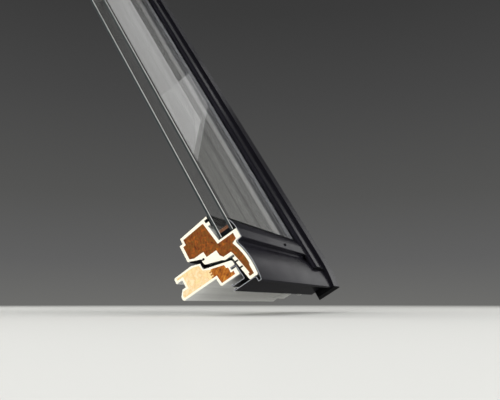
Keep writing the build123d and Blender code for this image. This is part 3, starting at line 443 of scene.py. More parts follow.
@dataclass(frozen=True)
class MouldedPolyurethane(Finish):
    """Polyurethane cast round the timber and lacquered.

    The lacquered skin is a smooth satin white with faint bands along the profile. Where the
    window is sawn through, the eye reads a creamier, matt foam with fine pores.
    """

    skin: str = "#f1f1ee"
    band: str = "#e3e3e0"
    foam: str = "#fcf7e4"
    pore: str = "#dcd6bf"
    band_mm: float = 9.0
    band_share: float = 0.02
    pore_mm: float = 0.9
    ripple_mm: float = 2.5
    relief_mm: float = 0.08
    arris_mm: float = 0.5
    roughness: float = 0.33
    foam_roughness: float = 0.75
    ior: float = 1.5
    # Side rails' inner faces, which get painted shade: where they start across and up, how far at
    # least their normal points back across, and the shade's grey steps by the level out of the
    # roof, with painted shadow lines between the steps.
    inner_across_mm: float = 280.0
    inner_up_mm: float = 5.0
    inner_normal: float = -0.5
    inner_levels_mm: tuple[float, float] = (-84.0, -8.0)
    inner_shade_tones: tuple[tuple[float, str], ...] = (
        (0.285, "#a8a8a7"),
        (0.290, "#636362"),
        (0.302, "#636362"),
        (0.307, "#acacab"),
        (0.545, "#acacab"),
        (0.550, "#6b6b6a"),
        (0.563, "#6b6b6a"),
        (0.568, "#bebebd"),
        (0.760, "#bebebd"),
        (0.765, "#6b6b6a"),
        (0.778, "#6b6b6a"),
        (0.783, "#ffffff"),
    )

    def paint(self, surface: Surface) -> None:
        """Paints the banded skin, painted shade in steps on the side rails' inner faces, and the
        porous foam where it is sawn.

        Args:
            surface: What the nodes are added to.
        """
        tree = surface.tree
        sawn = surface.sawn()
        # Bands lie along every rail, so their pattern changes mostly out of the roof.
        level = add_node(
            tree,
            "ShaderNodeMapping",
            {"Scale": (self.band_share, self.band_share, 1.0)},
            {"Vector": surface.place},
        )
        skin, _ = surface.mottle(
            self.band_mm,
            ((0.4, self.band), (0.6, self.skin)),
            {"Detail": 4.0, "Roughness": 0.6},
            level.outputs["Vector"],
        )
        # Painted shade on the side rails' inner faces darkens the skin there.
        inner_shaded = add_node(
            tree,
            "ShaderNodeMix",
            {"data_type": "RGBA", "blend_type": "MULTIPLY"},
            {0: self.inner_face(surface), 6: skin, 7: self.beads(surface)},
        )
        cells = add_node(
            tree,
            "ShaderNodeTexVoronoi",
            {"feature": "F1", "Scale": pattern_scale(self.pore_mm)},
            {"Vector": surface.place},
        )
        foam = add_node(
            tree,
            "ShaderNodeValToRGB",
            links={"Fac": cells.outputs["Distance"]},
            stops=((0.1, self.pore), (0.3, self.foam)),
        )
        colour = add_node(
            tree,
            "ShaderNodeMix",
            {"data_type": "RGBA"},
            {0: sawn, 6: inner_shaded.outputs[2], 7: foam.outputs["Color"]},
        )
        rough = add_node(
            tree,
            "ShaderNodeMapRange",
            {"To Min": self.roughness, "To Max": self.foam_roughness},
            {"Value": sawn},
        )
        relief = surface.relief(
            self.ripple_mm, self.relief_mm, strength=0.1, detail=1.0, arris_mm=self.arris_mm
        )
        fill(
            tree,
            surface.shader,
            {"IOR": self.ior},
            {
                "Base Color": colour.outputs[2],
                "Normal": relief,
                "Roughness": rough.outputs["Result"],
            },
        )

    def inner_face(self, surface: Surface) -> Socket:
        """Gives 1 on the side rails' faces that look at the opening, where painted shade goes, and
        0 elsewhere.

        Args:
            surface: What the nodes are added to.

        Returns:
            The socket with the mask.
        """
        tree = surface.tree
        beside = surface.zone(
            (Axis.ACROSS, Side.ABOVE, self.inner_across_mm),
            (Axis.UP, Side.ABOVE, self.inner_up_mm),
        )
        coords = add_node(tree, "ShaderNodeTexCoord")
        normal = add_node(
            tree, "ShaderNodeSeparateXYZ", links={"Vector": coords.outputs["Normal"]}
        )
        facing = add_node(
            tree,
            "ShaderNodeMath",
            {"operation": "LESS_THAN", 1: self.inner_normal},
            {0: normal.outputs["X"]},
        )
        mask = add_node(
            tree,
            "ShaderNodeMath",
            {"operation": "MULTIPLY"},
            {0: beside, 1: facing.outputs["Value"]},
        )
        return mask.outputs["Value"]

    def beads(self, surface: Surface) -> Socket:
        """Gives the inner faces' painted shade: grey steps that darken away from the glass, with
        painted shadow lines between them.

        Args:
            surface: What the nodes are added to.

        Returns:
            The socket with the colour.
        """
        tree = surface.tree
        split = add_node(tree, "ShaderNodeSeparateXYZ", links={"Vector": surface.place})
        low, high = self.inner_levels_mm
        level = add_node(
            tree,
            "ShaderNodeMapRange",
            {"From Min": low * MM, "From Max": high * MM},
            {"Value": split.outputs[Axis.OUT.value]},
        )
        tones = add_node(
            tree,
            "ShaderNodeValToRGB",
            links={"Fac": level.outputs["Result"]},
            stops=self.inner_shade_tones,
        )
        return tones.outputs["Color"]


@dataclass(frozen=True)
class CoilCoatedAluminium(Finish):
    """Aluminium sheet, coil coated in polyester and folded.

    The coat is a satin anthracite with a roller's faint texture and a little haze. The saw
    bares the metal, so every cut edge reads as a thin bright line.
    """

    coat: str = "#17161b"
    haze: str = "#1d1c22"
    bare: str = "#b4b6ba"
    # Smeared by the saw, the bared edge mirrors less than clean metal.
    bare_metallic: float = 0.35
    haze_mm: float = 60.0
    # The roller's texture is finer than a pixel of the picture, so it is drawn at 0.6 mm.
    texture_mm: float = 0.6
    relief_mm: float = 0.03
    arris_mm: float = 0.4
    roughness: float = 0.2
    roughness_spread: tuple[float, float] = (-0.03, 0.04)
    # The coat's gloss is weak, as it is on a polyester with a matting agent.
    specular: float = 0.25

    def paint(self, surface: Surface) -> None:
        """Paints the coat and bares the metal at the saw cut.

        Args:
            surface: What the nodes are added to.
        """
        tree = surface.tree
        sawn = surface.sawn()
        coat, cloud = surface.mottle(
            self.haze_mm,
            ((0.35, self.coat), (0.7, self.haze)),
            {"Detail": 3.0, "Roughness": 0.6},
        )
        colour = add_node(
            tree,
            "ShaderNodeMix",
            {"data_type": "RGBA", 7: linear(self.bare)},
            {0: sawn, 6: coat},
        )
        metal = add_node(
            tree,
            "ShaderNodeMapRange",
            {"To Min": 0.0, "To Max": self.bare_metallic},
            {"Value": sawn},
        )
        smoother, rougher = self.roughness_spread
        rough = add_node(
            tree,
            "ShaderNodeMapRange",
            {
                "From Min": 0.3,
                "From Max": 0.7,
                "To Min": self.roughness + smoother,
                "To Max": self.roughness + rougher,
            },
            {"Value": cloud},
        )
        relief = surface.relief(
            self.texture_mm, self.relief_mm, strength=0.1, detail=2.0, arris_mm=self.arris_mm
        )
        fill(
            tree,
            surface.shader,
            {"Specular IOR Level": self.specular},
            {
                "Base Color": colour.outputs[2],
                "Metallic": metal.outputs["Result"],
                "Normal": relief,
                "Roughness": rough.outputs["Result"],
            },
        )


@dataclass(frozen=True)
class BlackPolymer(Finish):
    """Extruded rubber or moulded plastic: near black and matt, with a dusty bloom."""

    colour: str
    bloom: str
    roughness: float = 0.58
    bloom_mm: float = 12.0
    line_mm: float = 0.5
    relief_mm: float = 0.05
    ior: float = 1.52
    specular: float = 0.2

    def paint(self, surface: Surface) -> None:
        """Paints the bloom and the fine relief that the die or the mould leaves.

        Args:
            surface: What the nodes are added to.
        """
        colour, _ = surface.mottle(
            self.bloom_mm, ((0.35, self.colour), (0.7, self.bloom)), {"Detail": 3.0}
        )
        relief = surface.relief(self.line_mm, self.relief_mm, strength=0.2, detail=1.0)
        fill(
            surface.tree,
            surface.shader,
            {
                "Roughness": self.roughness,
                "IOR": self.ior,
                "Specular IOR Level": self.specular,
            },
            {"Base Color": colour, "Normal": relief},
        )


@dataclass(frozen=True)
class RolledSteel(Finish):
    """Rolled steel with a thin finish: a soft sheen that fine lines along the strip break up."""

    colour: str
    shade: str
    sawn: str
    roughness: float = 0.34
    metallic: float = 1.0
    line_mm: float = 0.5
    # Along the strip the lines' scale is this share of what it is across it.
    line_share: float = 0.05
    roughness_spread: tuple[float, float] = (-0.06, 0.08)

    def paint(self, surface: Surface) -> None:
        """Paints the rolling lines in the colour and in the gloss.

        Args:
            surface: What the nodes are added to.
        """
        tree = surface.tree
        stretched = add_node(
            tree,
            "ShaderNodeMapping",
            {"Scale": (self.line_share, 1.0, 1.0)},
            {"Vector": surface.place},
        )
        rolled, lines = surface.mottle(
            self.line_mm,
            ((0.3, self.shade), (0.7, self.colour)),
            {"Detail": 2.0},
            stretched.outputs["Vector"],
        )
        colour = add_node(
            tree,
            "ShaderNodeMix",
            {"data_type": "RGBA", 7: linear(self.sawn)},
            {0: surface.sawn(), 6: rolled},
        )
        smoother, rougher = self.roughness_spread
        rough = add_node(
            tree,
            "ShaderNodeMapRange",
            {"To Min": self.roughness + smoother, "To Max": self.roughness + rougher},
            {"Value": lines},
        )
        fill(
            tree,
            surface.shader,
            {"Metallic": self.metallic},
            {"Base Color": colour.outputs[2], "Roughness": rough.outputs["Result"]},
        )


@dataclass(frozen=True)
class SpacerBar(RolledSteel):
    """Steel strip, dull and near white, and dark over its bottom run.

    The near white is partly its pale blasted finish and partly a painted reflection of a lamp.
    """

    bottom_run_dark: str = "#1c1a1a"
    bottom_run_mm: float = 5.0

    def paint(self, surface: Surface) -> None:
        """Paints the strip, and darkens its bottom run but not the saw cut.

        Args:
            surface: What the nodes are added to.
        """
        super().paint(surface)
        tree = surface.tree
        strip = surface.shader.inputs["Base Color"].links[0].from_socket
        # The bottom run is painted dark, away from the saw cut.
        bottom_run = surface.zone(
            (Axis.UP, Side.BELOW, self.bottom_run_mm), (Axis.ACROSS, Side.ABOVE, CUT_DEPTH_MM)
        )
        colour = add_node(
            tree,
            "ShaderNodeMix",
            {"data_type": "RGBA", 7: linear(self.bottom_run_dark)},
            {0: bottom_run, 6: strip},
        )
        tree.links.new(colour.outputs[2], surface.shader.inputs["Base Color"])


@dataclass(frozen=True)
class SpacerSeal(Finish):
    """Butyl, and inside the spacer the drying matrix: tar black under a grainy copper brown."""

    matrix_mm: float
    butyl: str = "#05090d"
    bloom: str = "#0d141a"
    grain: str = "#80583f"
    gap: str = "#523729"
    grain_mm: float = 0.9
    bloom_mm: float = 8.0
    relief_mm: float = 0.2
    roughness: float = 0.7
    specular: float = 0.3

    def paint(self, surface: Surface) -> None:
        """Paints the black butyl, and the beads where the saw opened the spacer.

        Args:
            surface: What the nodes are added to.
        """
        tree = surface.tree
        black, _ = surface.mottle(
            self.bloom_mm, ((0.35, self.butyl), (0.7, self.bloom)), {"Detail": 3.0}
        )
        beads = add_node(
            tree,
            "ShaderNodeTexVoronoi",
            {"Scale": pattern_scale(self.grain_mm)},
            {"Vector": surface.place},
        )
        matrix = add_node(
            tree,
            "ShaderNodeValToRGB",
            links={"Fac": beads.outputs["Distance"]},
            stops=((0.35, self.grain), (0.75, self.gap)),
        )
        opened = surface.zone(
            (Axis.UP, Side.ABOVE, 0.0),
            (Axis.UP, Side.BELOW, self.matrix_mm),
            (Axis.ACROSS, Side.BELOW, CUT_DEPTH_MM),
        )
        colour = add_node(
            tree,
            "ShaderNodeMix",
            {"data_type": "RGBA"},
            {0: opened, 6: black, 7: matrix.outputs["Color"]},
        )
        relief = add_node(
            tree,
            "ShaderNodeBump",
            {"Strength": 0.5, "Distance": self.relief_mm * MM, "invert": True},
            {"Height": beads.outputs["Distance"]},
        )
        fill(
            tree,
            surface.shader,
            {"Roughness": self.roughness, "Specular IOR Level": self.specular},
            {"Base Color": colour.outputs[2], "Normal": relief.outputs["Normal"]},
        )


@dataclass(frozen=True)
class FloatGlass(Finish):
    """Clear float glass: sharp reflections and faint smears.

    Its sawn edge is ground and painted frosted dark grey, which darkens into a painted shadow line
    under the outer arris. The arris's bright white is partly its frosting and partly a painted
    highlight.
    """

    outer_face_mm: float
    pane_mm: float
    colour: str = "#fefefe"
    # The edge's darkest tone is a painted shadow line under the arris, whose white is partly its
    # frosting and partly a painted highlight.
    edge: str = "#3c4243"
    edge_shadow_line: str = "#1f2628"
    arris: str = "#dcdedb"
    arris_mm: float = 0.6
    # Share of the pane's thickness over which the ground edge turns into the arris.
    arris_blend: float = 0.05
    edge_roughness: float = 0.6
    smear_mm: float = 35.0
    smear_roughness: float = 0.004
    let_through: str = "#fafafa"
    ior: float = 1.52

    def paint(self, surface: Surface) -> None:
        """Paints clear faces and the ground edge, with its painted shadow line and highlight, and
        lets lamps light what lies behind.

        Args:
            surface: What the nodes are added to.
        """
        tree = surface.tree
        sawn = surface.sawn()
        clear = add_node(tree, "ShaderNodeMath", {"operation": "SUBTRACT", 0: 1.0}, {1: sawn})
        smear = add_node(
            tree,
            "ShaderNodeTexNoise",
            {"Scale": pattern_scale(self.smear_mm), "Detail": 4.0},
            {"Vector": surface.place},
        )
        haze = add_node(
            tree,
            "ShaderNodeMapRange",
            {"From Min": 0.45, "From Max": 0.8, "To Min": 0.0, "To Max": self.smear_roughness},
            {"Value": smear.outputs["Fac"]},
        )
        rough = add_node(
            tree,
            "ShaderNodeMath",
            {"operation": "MULTIPLY_ADD", 1: self.edge_roughness},
            {0: sawn, 2: haze.outputs["Result"]},
        )
        colour = add_node(
            tree,
            "ShaderNodeMix",
            {"data_type": "RGBA", 6: linear(self.colour)},
            {0: sawn, 7: self.ground_edge_painted_light(surface)},
        )
        fill(
            tree,
            surface.shader,
            {"IOR": self.ior},
            {
                "Base Color": colour.outputs[2],
                "Transmission Weight": clear.outputs["Value"],
                "Roughness": rough.outputs["Value"],
            },
        )
        path = add_node(tree, "ShaderNodeLightPath")
        passing = add_node(
            tree,
            "ShaderNodeMath",
            {"operation": "MULTIPLY"},
            {0: path.outputs["Is Shadow Ray"], 1: clear.outputs["Value"]},
        )
        open_glass = add_node(
            tree, "ShaderNodeBsdfTransparent", {"Color": linear(self.let_through)}
        )
        mixed = add_node(
            tree,
            "ShaderNodeMixShader",
            links={
                0: passing.outputs["Value"],
                1: surface.shader.outputs["BSDF"],
                2: open_glass.outputs["BSDF"],
            },
        )
        tree.links.new(mixed.outputs["Shader"], tree.nodes["Material Output"].inputs["Surface"])

    def ground_edge_painted_light(self, surface: Surface) -> Socket:
        """Gives the ground edge's tones through the pane, from its room side outward: grey, a
        painted shadow line, then the arris with a painted highlight.

        Args:
            surface: What the nodes are added to.

        Returns:
            The socket with the colour.
        """
        tree = surface.tree
        split = add_node(tree, "ShaderNodeSeparateXYZ", links={"Vector": surface.place})
        depth = add_node(
            tree,
            "ShaderNodeMapRange",
            {
                "From Min": (self.outer_face_mm - self.pane_mm) * MM,
                "From Max": self.outer_face_mm * MM,
            },
            {"Value": split.outputs[Axis.OUT.value]},
        )
        start = 1.0 - self.arris_mm / self.pane_mm
        ground = add_node(
            tree,
            "ShaderNodeValToRGB",
            links={"Fac": depth.outputs["Result"]},
            stops=(
                (0.0, self.edge),
                (start - self.arris_blend, self.edge_shadow_line),
                (start, self.arris),
                (1.0, self.arris),
            ),
        )
        return ground.outputs["Color"]


def dress(material: bpy.types.Material, nodes: Iterable[str]) -> None:
    """Gives carried-over solids their material.

    Args:
        material: What they are made of.
        nodes: Names of the solids.
    """
    for node in nodes:
        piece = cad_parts[node]
        piece.data.materials.clear()
        piece.data.materials.append(material)
        log.info("%s: %s", node, material.name)


@dataclass
class TimberCores:
    """Timbers inside the mouldings, each with its grain along its own rail."""

    # Baked in steam, the sash's spruce is a deep red brown with a soft figure.
    red: PlanedTimber = PlanedTimber(
        "spruce_heat_treated",
        tones=("#5f2c0c", "#8a4312", "#755019", "#9a4a14", "#ab6418"),
        late_wood="#7c4016",
        pith_mm=(40.0, 30.0, -95.0),
        ring_mm=4.6,
        patch_mm=7.0,
        ring_strength=0.3,
        pore_strength=0.45,
    )
    # Baked less, the frame's weather side is amber and shows its rings more.
    amber: PlanedTimber = PlanedTimber(
        "spruce_heat_treated_light",
        tones=("#7c420f", "#b36a1c", "#a85a15", "#c67c26", "#cf8d38"),
        late_wood="#955018",
        pith_mm=(20.0, -80.0, -10.0),
        ring_mm=4.2,
        patch_mm=8.0,
    )
    # Untreated, the frame's room side is pale yellow and nearly even.
    pale: PlanedTimber = PlanedTimber(
        "pine_planed",
        tones=("#eed596", "#f5dca6", "#f1cf98", "#f8e2ba", "#efd9a0"),
        late_wood="#e8c48c",
        pith_mm=(10.0, -10.0, -150.0),
        ring_mm=9.0,
        patch_mm=12.0,
        ring_strength=0.25,
        pore_strength=0.12,
    )

    def build(self) -> None:
        """Dresses every core, and the battens in the upstand of the head and side rails."""
        for grain, rails, batten in (
            (Axis.ACROSS, ("bottom", "head"), "frame_batten_head"),
            (Axis.UP, ("side",), "frame_batten_side"),
        ):
            pine = [f"frame_pine_{rail}" for rail in rails]
            dress(self.red.along(grain).material(), [f"sash_core_{rail}" for rail in rails])
            dress(self.amber.along(grain).material(), [f"frame_thermo_{rail}" for rail in rails])
            dress(self.pale.along(grain).material(), [*pine, batten])


@dataclass
class Mouldings:
    """Moulded skins of the sash and of the frame."""

    skin: MouldedPolyurethane = MouldedPolyurethane("polyurethane_moulded_lacquered")
    skins: tuple[str, ...] = ("sash_moulding", "frame_moulding")

    def build(self) -> None:
        """Dresses both mouldings."""
        dress(self.skin.material(), self.skins)


@dataclass
class GlassUnit:
    """Sealed unit of two panes, a spacer bar and the butyl round its edge."""

    cavity_mm: float = 16.0
    pane_mm: float = 4.0
    matrix_mm: float = 3.9
    # The spacer's near white is partly its pale blasted finish and partly a painted reflection of a
    # lamp.
    spacer: SpacerBar = SpacerBar(
        "steel_stainless_blasted",
        colour="#f7f9fd",
        shade="#eceef3",
        sawn="#7d5843",
        roughness=0.3,
        metallic=0.1,
    )

    def build(self) -> None:
        """Dresses the panes, the spacer and the edge seal that fills it."""
        inner_face_mm = GLASS_FACE_MM - self.pane_mm - self.cavity_mm
        for side, face_mm in (("outer", GLASS_FACE_MM), ("inner", inner_face_mm)):
            glass = FloatGlass(f"float_glass_{side}", face_mm, self.pane_mm)
            dress(glass.material(), (f"glass_{side}",))
        seal = SpacerSeal("butyl_and_desiccant_extruded", self.matrix_mm)
        dress(self.spacer.material(), ("glass_spacer",))
        dress(seal.material(), ("glass_edge_seal",))


@dataclass
class Covers:
    """Coated sheet covers, their black end caps and the glass's setting blocks."""

    sheet: CoilCoatedAluminium = CoilCoatedAluminium("aluminium_coil_coated")
    # Polypropylene as it leaves the mould is a waxy black that picks up dust.
    plastic: BlackPolymer = BlackPolymer("polypropylene_moulded", "#0d0d0f", "#18181b")
    sash_covers: tuple[str, ...] = ("sash_cover_bottom", "sash_cover_side", "sash_cover_head")
    frame_covers: tuple[str, ...] = ("frame_cover_side", "frame_cover_head", "frame_flashing")
    caps: tuple[str, ...] = ("sash_cover_end", "frame_cover_end")
    blocks: tuple[str, ...] = ("setting_block_middle", "setting_block_side")

    def build(self) -> None:
        """Dresses the folded sheets and the moulded parts."""
        dress(self.sheet.material(), self.sash_covers + self.frame_covers)
        dress(self.plastic.material(), self.caps + self.blocks)


@dataclass
class Seals:
    """Rubber profiles round the glass and between sash and frame."""

    # EPDM from the die is deep black and swallows nearly all light.
    rubber: BlackPolymer = BlackPolymer("epdm_rubber_extruded", "#030405", "#0b0c0e")
    glazing: tuple[str, ...] = ("glazing_gasket", "glazing_seal_bottom", "glazing_seal_upper")
    weather: tuple[str, ...] = ("weather_gasket", "frame_gasket", "sill_strip", "nose_gasket")

    def build(self) -> None:
        """Dresses every rubber profile."""
        dress(self.rubber.material(), self.glazing + self.weather)


@dataclass
class Fittings:
    """Hinge at the head, and screws with a cross recess and a cut thread.

    A screw's shares are of its head's height, of its rim's width or of its head's top.
    """

    # Zinc plating is a pale grey with a soft sheen.
    zinc: RolledSteel = RolledSteel("steel_zinc_plated", "#c9ccce", "#9a9da0", "#c9ccce")
    # Blackened heads are nearly as dark as the covers that they hold.
    dark: RolledSteel = RolledSteel("steel_blackened", "#2e2e31", "#19191b", "#2e2e31", 0.42)
    hinge: tuple[str, ...] = ("hinge_side_sash_leaf", "hinge_side_frame_leaf", "hinge_side_pin")
    head_height_mm: float = 1.7
    head_rim_mm: float = 0.5
    dome_share: float = 0.14
    dome_rows: int = 10
    # Rows of the rim, as shares inward and shares up.
    rim_shares: tuple[tuple[float, float], ...] = ((0.3, 0.62), (0.0, 0.3), (0.0, 0.0))
    thread_radius_mm: float = 1.82
    root_radius_mm: float = 1.35
    thread_pitch_mm: float = 1.6
    tip_mm: float = 4.0
    tip_share: float = 0.15
    recess_width_mm: float = 0.9
    recess_depth_mm: float = 0.95
    recess_reach: float = 0.62
    recess_slope: float = 0.45
    columns: int = 48

    def build(self) -> None:
        """Dresses the hinge and puts detailed screws where the plain ones are."""
        zinc = self.zinc.material()
        dark = self.dark.material()
        dress(zinc, self.hinge)
        self.screws("hinge_sash_screws", "sash", zinc)
        self.screws("hinge_frame_screws", "frame", zinc)
        self.screws("frame_cover_screws", "frame", dark)
        self.screws("ledge_screw", "sash", dark)

    def screws(self, node: str, body: str, material: bpy.types.Material) -> None:
        """Replaces a node's plain screws by detailed ones in the same places.

        Args:
            node: Name of the plain screws' node.
            body: The body that they ride on.
            material: What they are made of.
        """
        whole = bmesh.new()
        plain = bmesh.new()
        plain.from_mesh(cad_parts[node].data)
        for island in self.islands(plain):
            self.screw(whole, *self.seat(island))
        plain.free()
        data = bpy.data.meshes.new(f"{node}_threaded")
        whole.to_mesh(data)
        whole.free()
        data.materials.append(material)
        piece = bpy.data.objects.new(f"{node}_threaded", data)
        bpy.context.scene.collection.objects.link(piece)
        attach(piece, body)
        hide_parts(node)
        log.info("%s_threaded: %s, %d faces", node, material.name, len(data.polygons))

    def islands(self, mesh: bmesh.types.BMesh) -> list[list[Vector]]:
        """Splits a mesh into its separate screws, in the order of its points.

        Args:
            mesh: The plain screws of one node.

        Returns:
            The points of each screw.
        """
        bmesh.ops.remove_doubles(mesh, verts=mesh.verts, dist=WELD)
        seen = set()
        found = []
        for start in mesh.verts:
            if start in seen:
                continue
            seen.add(start)
            reached = [start]
            for vertex in reached:
                for edge in vertex.link_edges:
                    other = edge.other_vert(vertex)
                    if other not in seen:
                        seen.add(other)
                        reached.append(other)
            found.append([vertex.co.copy() for vertex in reached])
        return found

    def seat(self, points: list[Vector]) -> tuple[Vector, Vector, float, float]:
        """Reads where a plain screw sits.

        Args:
            points: The screw's points.

        Returns:
            The middle of its seat, the way its head points, its head's radius and its
            shank's length, in metres.
        """
        turn = Matrix.Rotation(ROOF_PITCH, 3, "X")
        local = [turn.transposed() @ point for point in points]
        low = Vector([min(point[axis] for point in local) for axis in range(3)])
        high = Vector([max(point[axis] for point in local) for axis in range(3)])
        middle = (low + high) / 2
        size = high - low
        along = max(range(3), key=lambda axis: size[axis])
        cross = [axis for axis in range(3) if axis != along]
        radius = size[cross[0]] / 2
        widest = max(
            local, key=lambda point: sum((point[axis] - middle[axis]) ** 2 for axis in cross)
        )
        head = Vector((0.0, 0.0, 0.0))
        head[along] = 1.0 if widest[along] > middle[along] else -1.0
        seat = middle.copy()
        seat[along] = widest[along]
        return turn @ seat, turn @ head, radius, size[along] - self.head_height_mm * MM

    def screw(
        self,
        mesh: bmesh.types.BMesh,
        seat: Vector,
        head: Vector,
        radius: float,
        length: float,
    ) -> None:
        """Turns one screw: a domed head with a cross recess over a helical thread.

        Args:
            mesh: The mesh that gets it.
            seat: The middle of the face that its head sits on.
            head: The way its head points.
            radius: Its head's radius, in metres.
            length: Its shank's length, in metres.
        """
        height = self.head_height_mm * MM
        rim = self.head_rim_mm * MM
        top = radius - rim
        turn = head.to_track_quat("Z", "Y").to_matrix()
        dome_rows = []
        for row in range(self.dome_rows + 1):
            fall = self.dome_share * (row / self.dome_rows) ** 2
            dome_rows.append((top * row / self.dome_rows, height * (1 - fall)))
        rim_rows = [(radius - rim * inward, height * up) for inward, up in self.rim_shares]
        half_pitch = self.thread_pitch_mm * MM / 2
        count = int((length - 2 * half_pitch) / half_pitch)
        columns = []
        for column in range(self.columns + 1):
            angle = 2 * math.pi * column / self.columns
            spoke = Vector((math.cos(angle), math.sin(angle), 0.0))
            line = [self.recessed(spoke * away, level, top) for away, level in dome_rows]
            line += [spoke * away + Vector((0.0, 0.0, level)) for away, level in rim_rows]
            line.append(spoke * self.thread_radius_mm * MM)
            for row in range(count):
                deep = (row + 2 * column / self.columns) * half_pitch
                taper = min(1.0, (length - deep) / (self.tip_mm * MM))
                thread = self.thread_radius_mm if row % 2 else self.root_radius_mm
                wide = thread * MM * max(taper, self.tip_share)
                line.append(spoke * wide + Vector((0.0, 0.0, -deep)))
            line.append(Vector((0.0, 0.0, -length)))
            columns.append([mesh.verts.new(seat + turn @ point) for point in line])
        for left, right in zip(columns, columns[1:]):
            for row in range(len(left) - 1):
                mesh.faces.new((left[row], left[row + 1], right[row + 1], right[row]))
        used = [vertex for line in columns for vertex in line]
        bmesh.ops.remove_doubles(mesh, verts=used, dist=WELD)

    def recessed(self, point: Vector, level: float, reach: float) -> Vector:
        """Sinks a point of the head's top where it lies in the cross recess.

        Args:
            point: The point on the plane of the seat.
            level: Height of the head above it.
            reach: Radius of the head's top.

        Returns:
            The point on the head's surface.
        """
        arm = self.recess_reach * reach
        half = self.recess_width_mm * MM / 2
        across = min(abs(point.x), abs(point.y))
        along = max(abs(point.x), abs(point.y))
        if across < half and along < arm:
            level -= self.recess_depth_mm * MM * (1 - self.recess_slope * along / arm)
        return Vector((point.x, point.y, level))


@dataclass(frozen=True)
class Lamp:
    """Soft rectangular lamp: where it hangs, what it faces, its size in metres and its watts."""

    name: str
    place: Place
    target: Place
    size: tuple[float, float]
    power: float

    def hang(self) -> None:
        """Hangs the lamp, unseen by the camera, by gloss and through glass."""
        data = bpy.data.lights.new(self.name, "AREA")
        data.shape = "RECTANGLE"
        data.size, data.size_y = self.size
        data.energy = self.power
        lamp = bpy.data.objects.new(self.name, data)
        bpy.context.scene.collection.objects.link(lamp)
        lamp.location = self.place
        aim = Vector(self.target) - Vector(self.place)
        lamp.rotation_euler = aim.to_track_quat("-Z", "Y").to_euler()
        lamp.visible_camera = False
        lamp.visible_transmission = False
        lamp.visible_glossy = False


@dataclass(frozen=True)
class Softbox:
    """Dim gauze softbox: its radiance, where 1 is white, and its image in the outer pane.

    The image's corners are across and up the window in mm, on the pane's outer face.
    """

    name: str
    radiance: float
    image: tuple[tuple[float, float], ...]

    def hang(self, corners: Iterable[Vector]) -> None:
        """Hangs the softbox where only glass, metal and gloss mirror it.

        Args:
            corners: Its corners in order, in metres.
        """
        data = bpy.data.meshes.new(self.name)
        places = [tuple(corner) for corner in corners]
        data.from_pydata(places, [], [tuple(range(len(places)))])
        softbox = bpy.data.objects.new(self.name, data)
        bpy.context.scene.collection.objects.link(softbox)
        material = bpy.data.materials.new(f"{self.name}_gauze_lit")
        material.use_nodes = True
        tree = material.node_tree
        tree.nodes.clear()
        glow = add_node(tree, "ShaderNodeEmission", {"Strength": self.radiance})
        gauze = add_node(tree, "ShaderNodeBsdfTransparent")
        both = add_node(
            tree,
            "ShaderNodeAddShader",
            links={0: glow.outputs["Emission"], 1: gauze.outputs["BSDF"]},
        )
        add_node(tree, "ShaderNodeOutputMaterial", links={"Surface": both.outputs["Shader"]})
        data.materials.append(material)
        softbox.visible_camera = False
        softbox.visible_transmission = False
        softbox.visible_diffuse = False


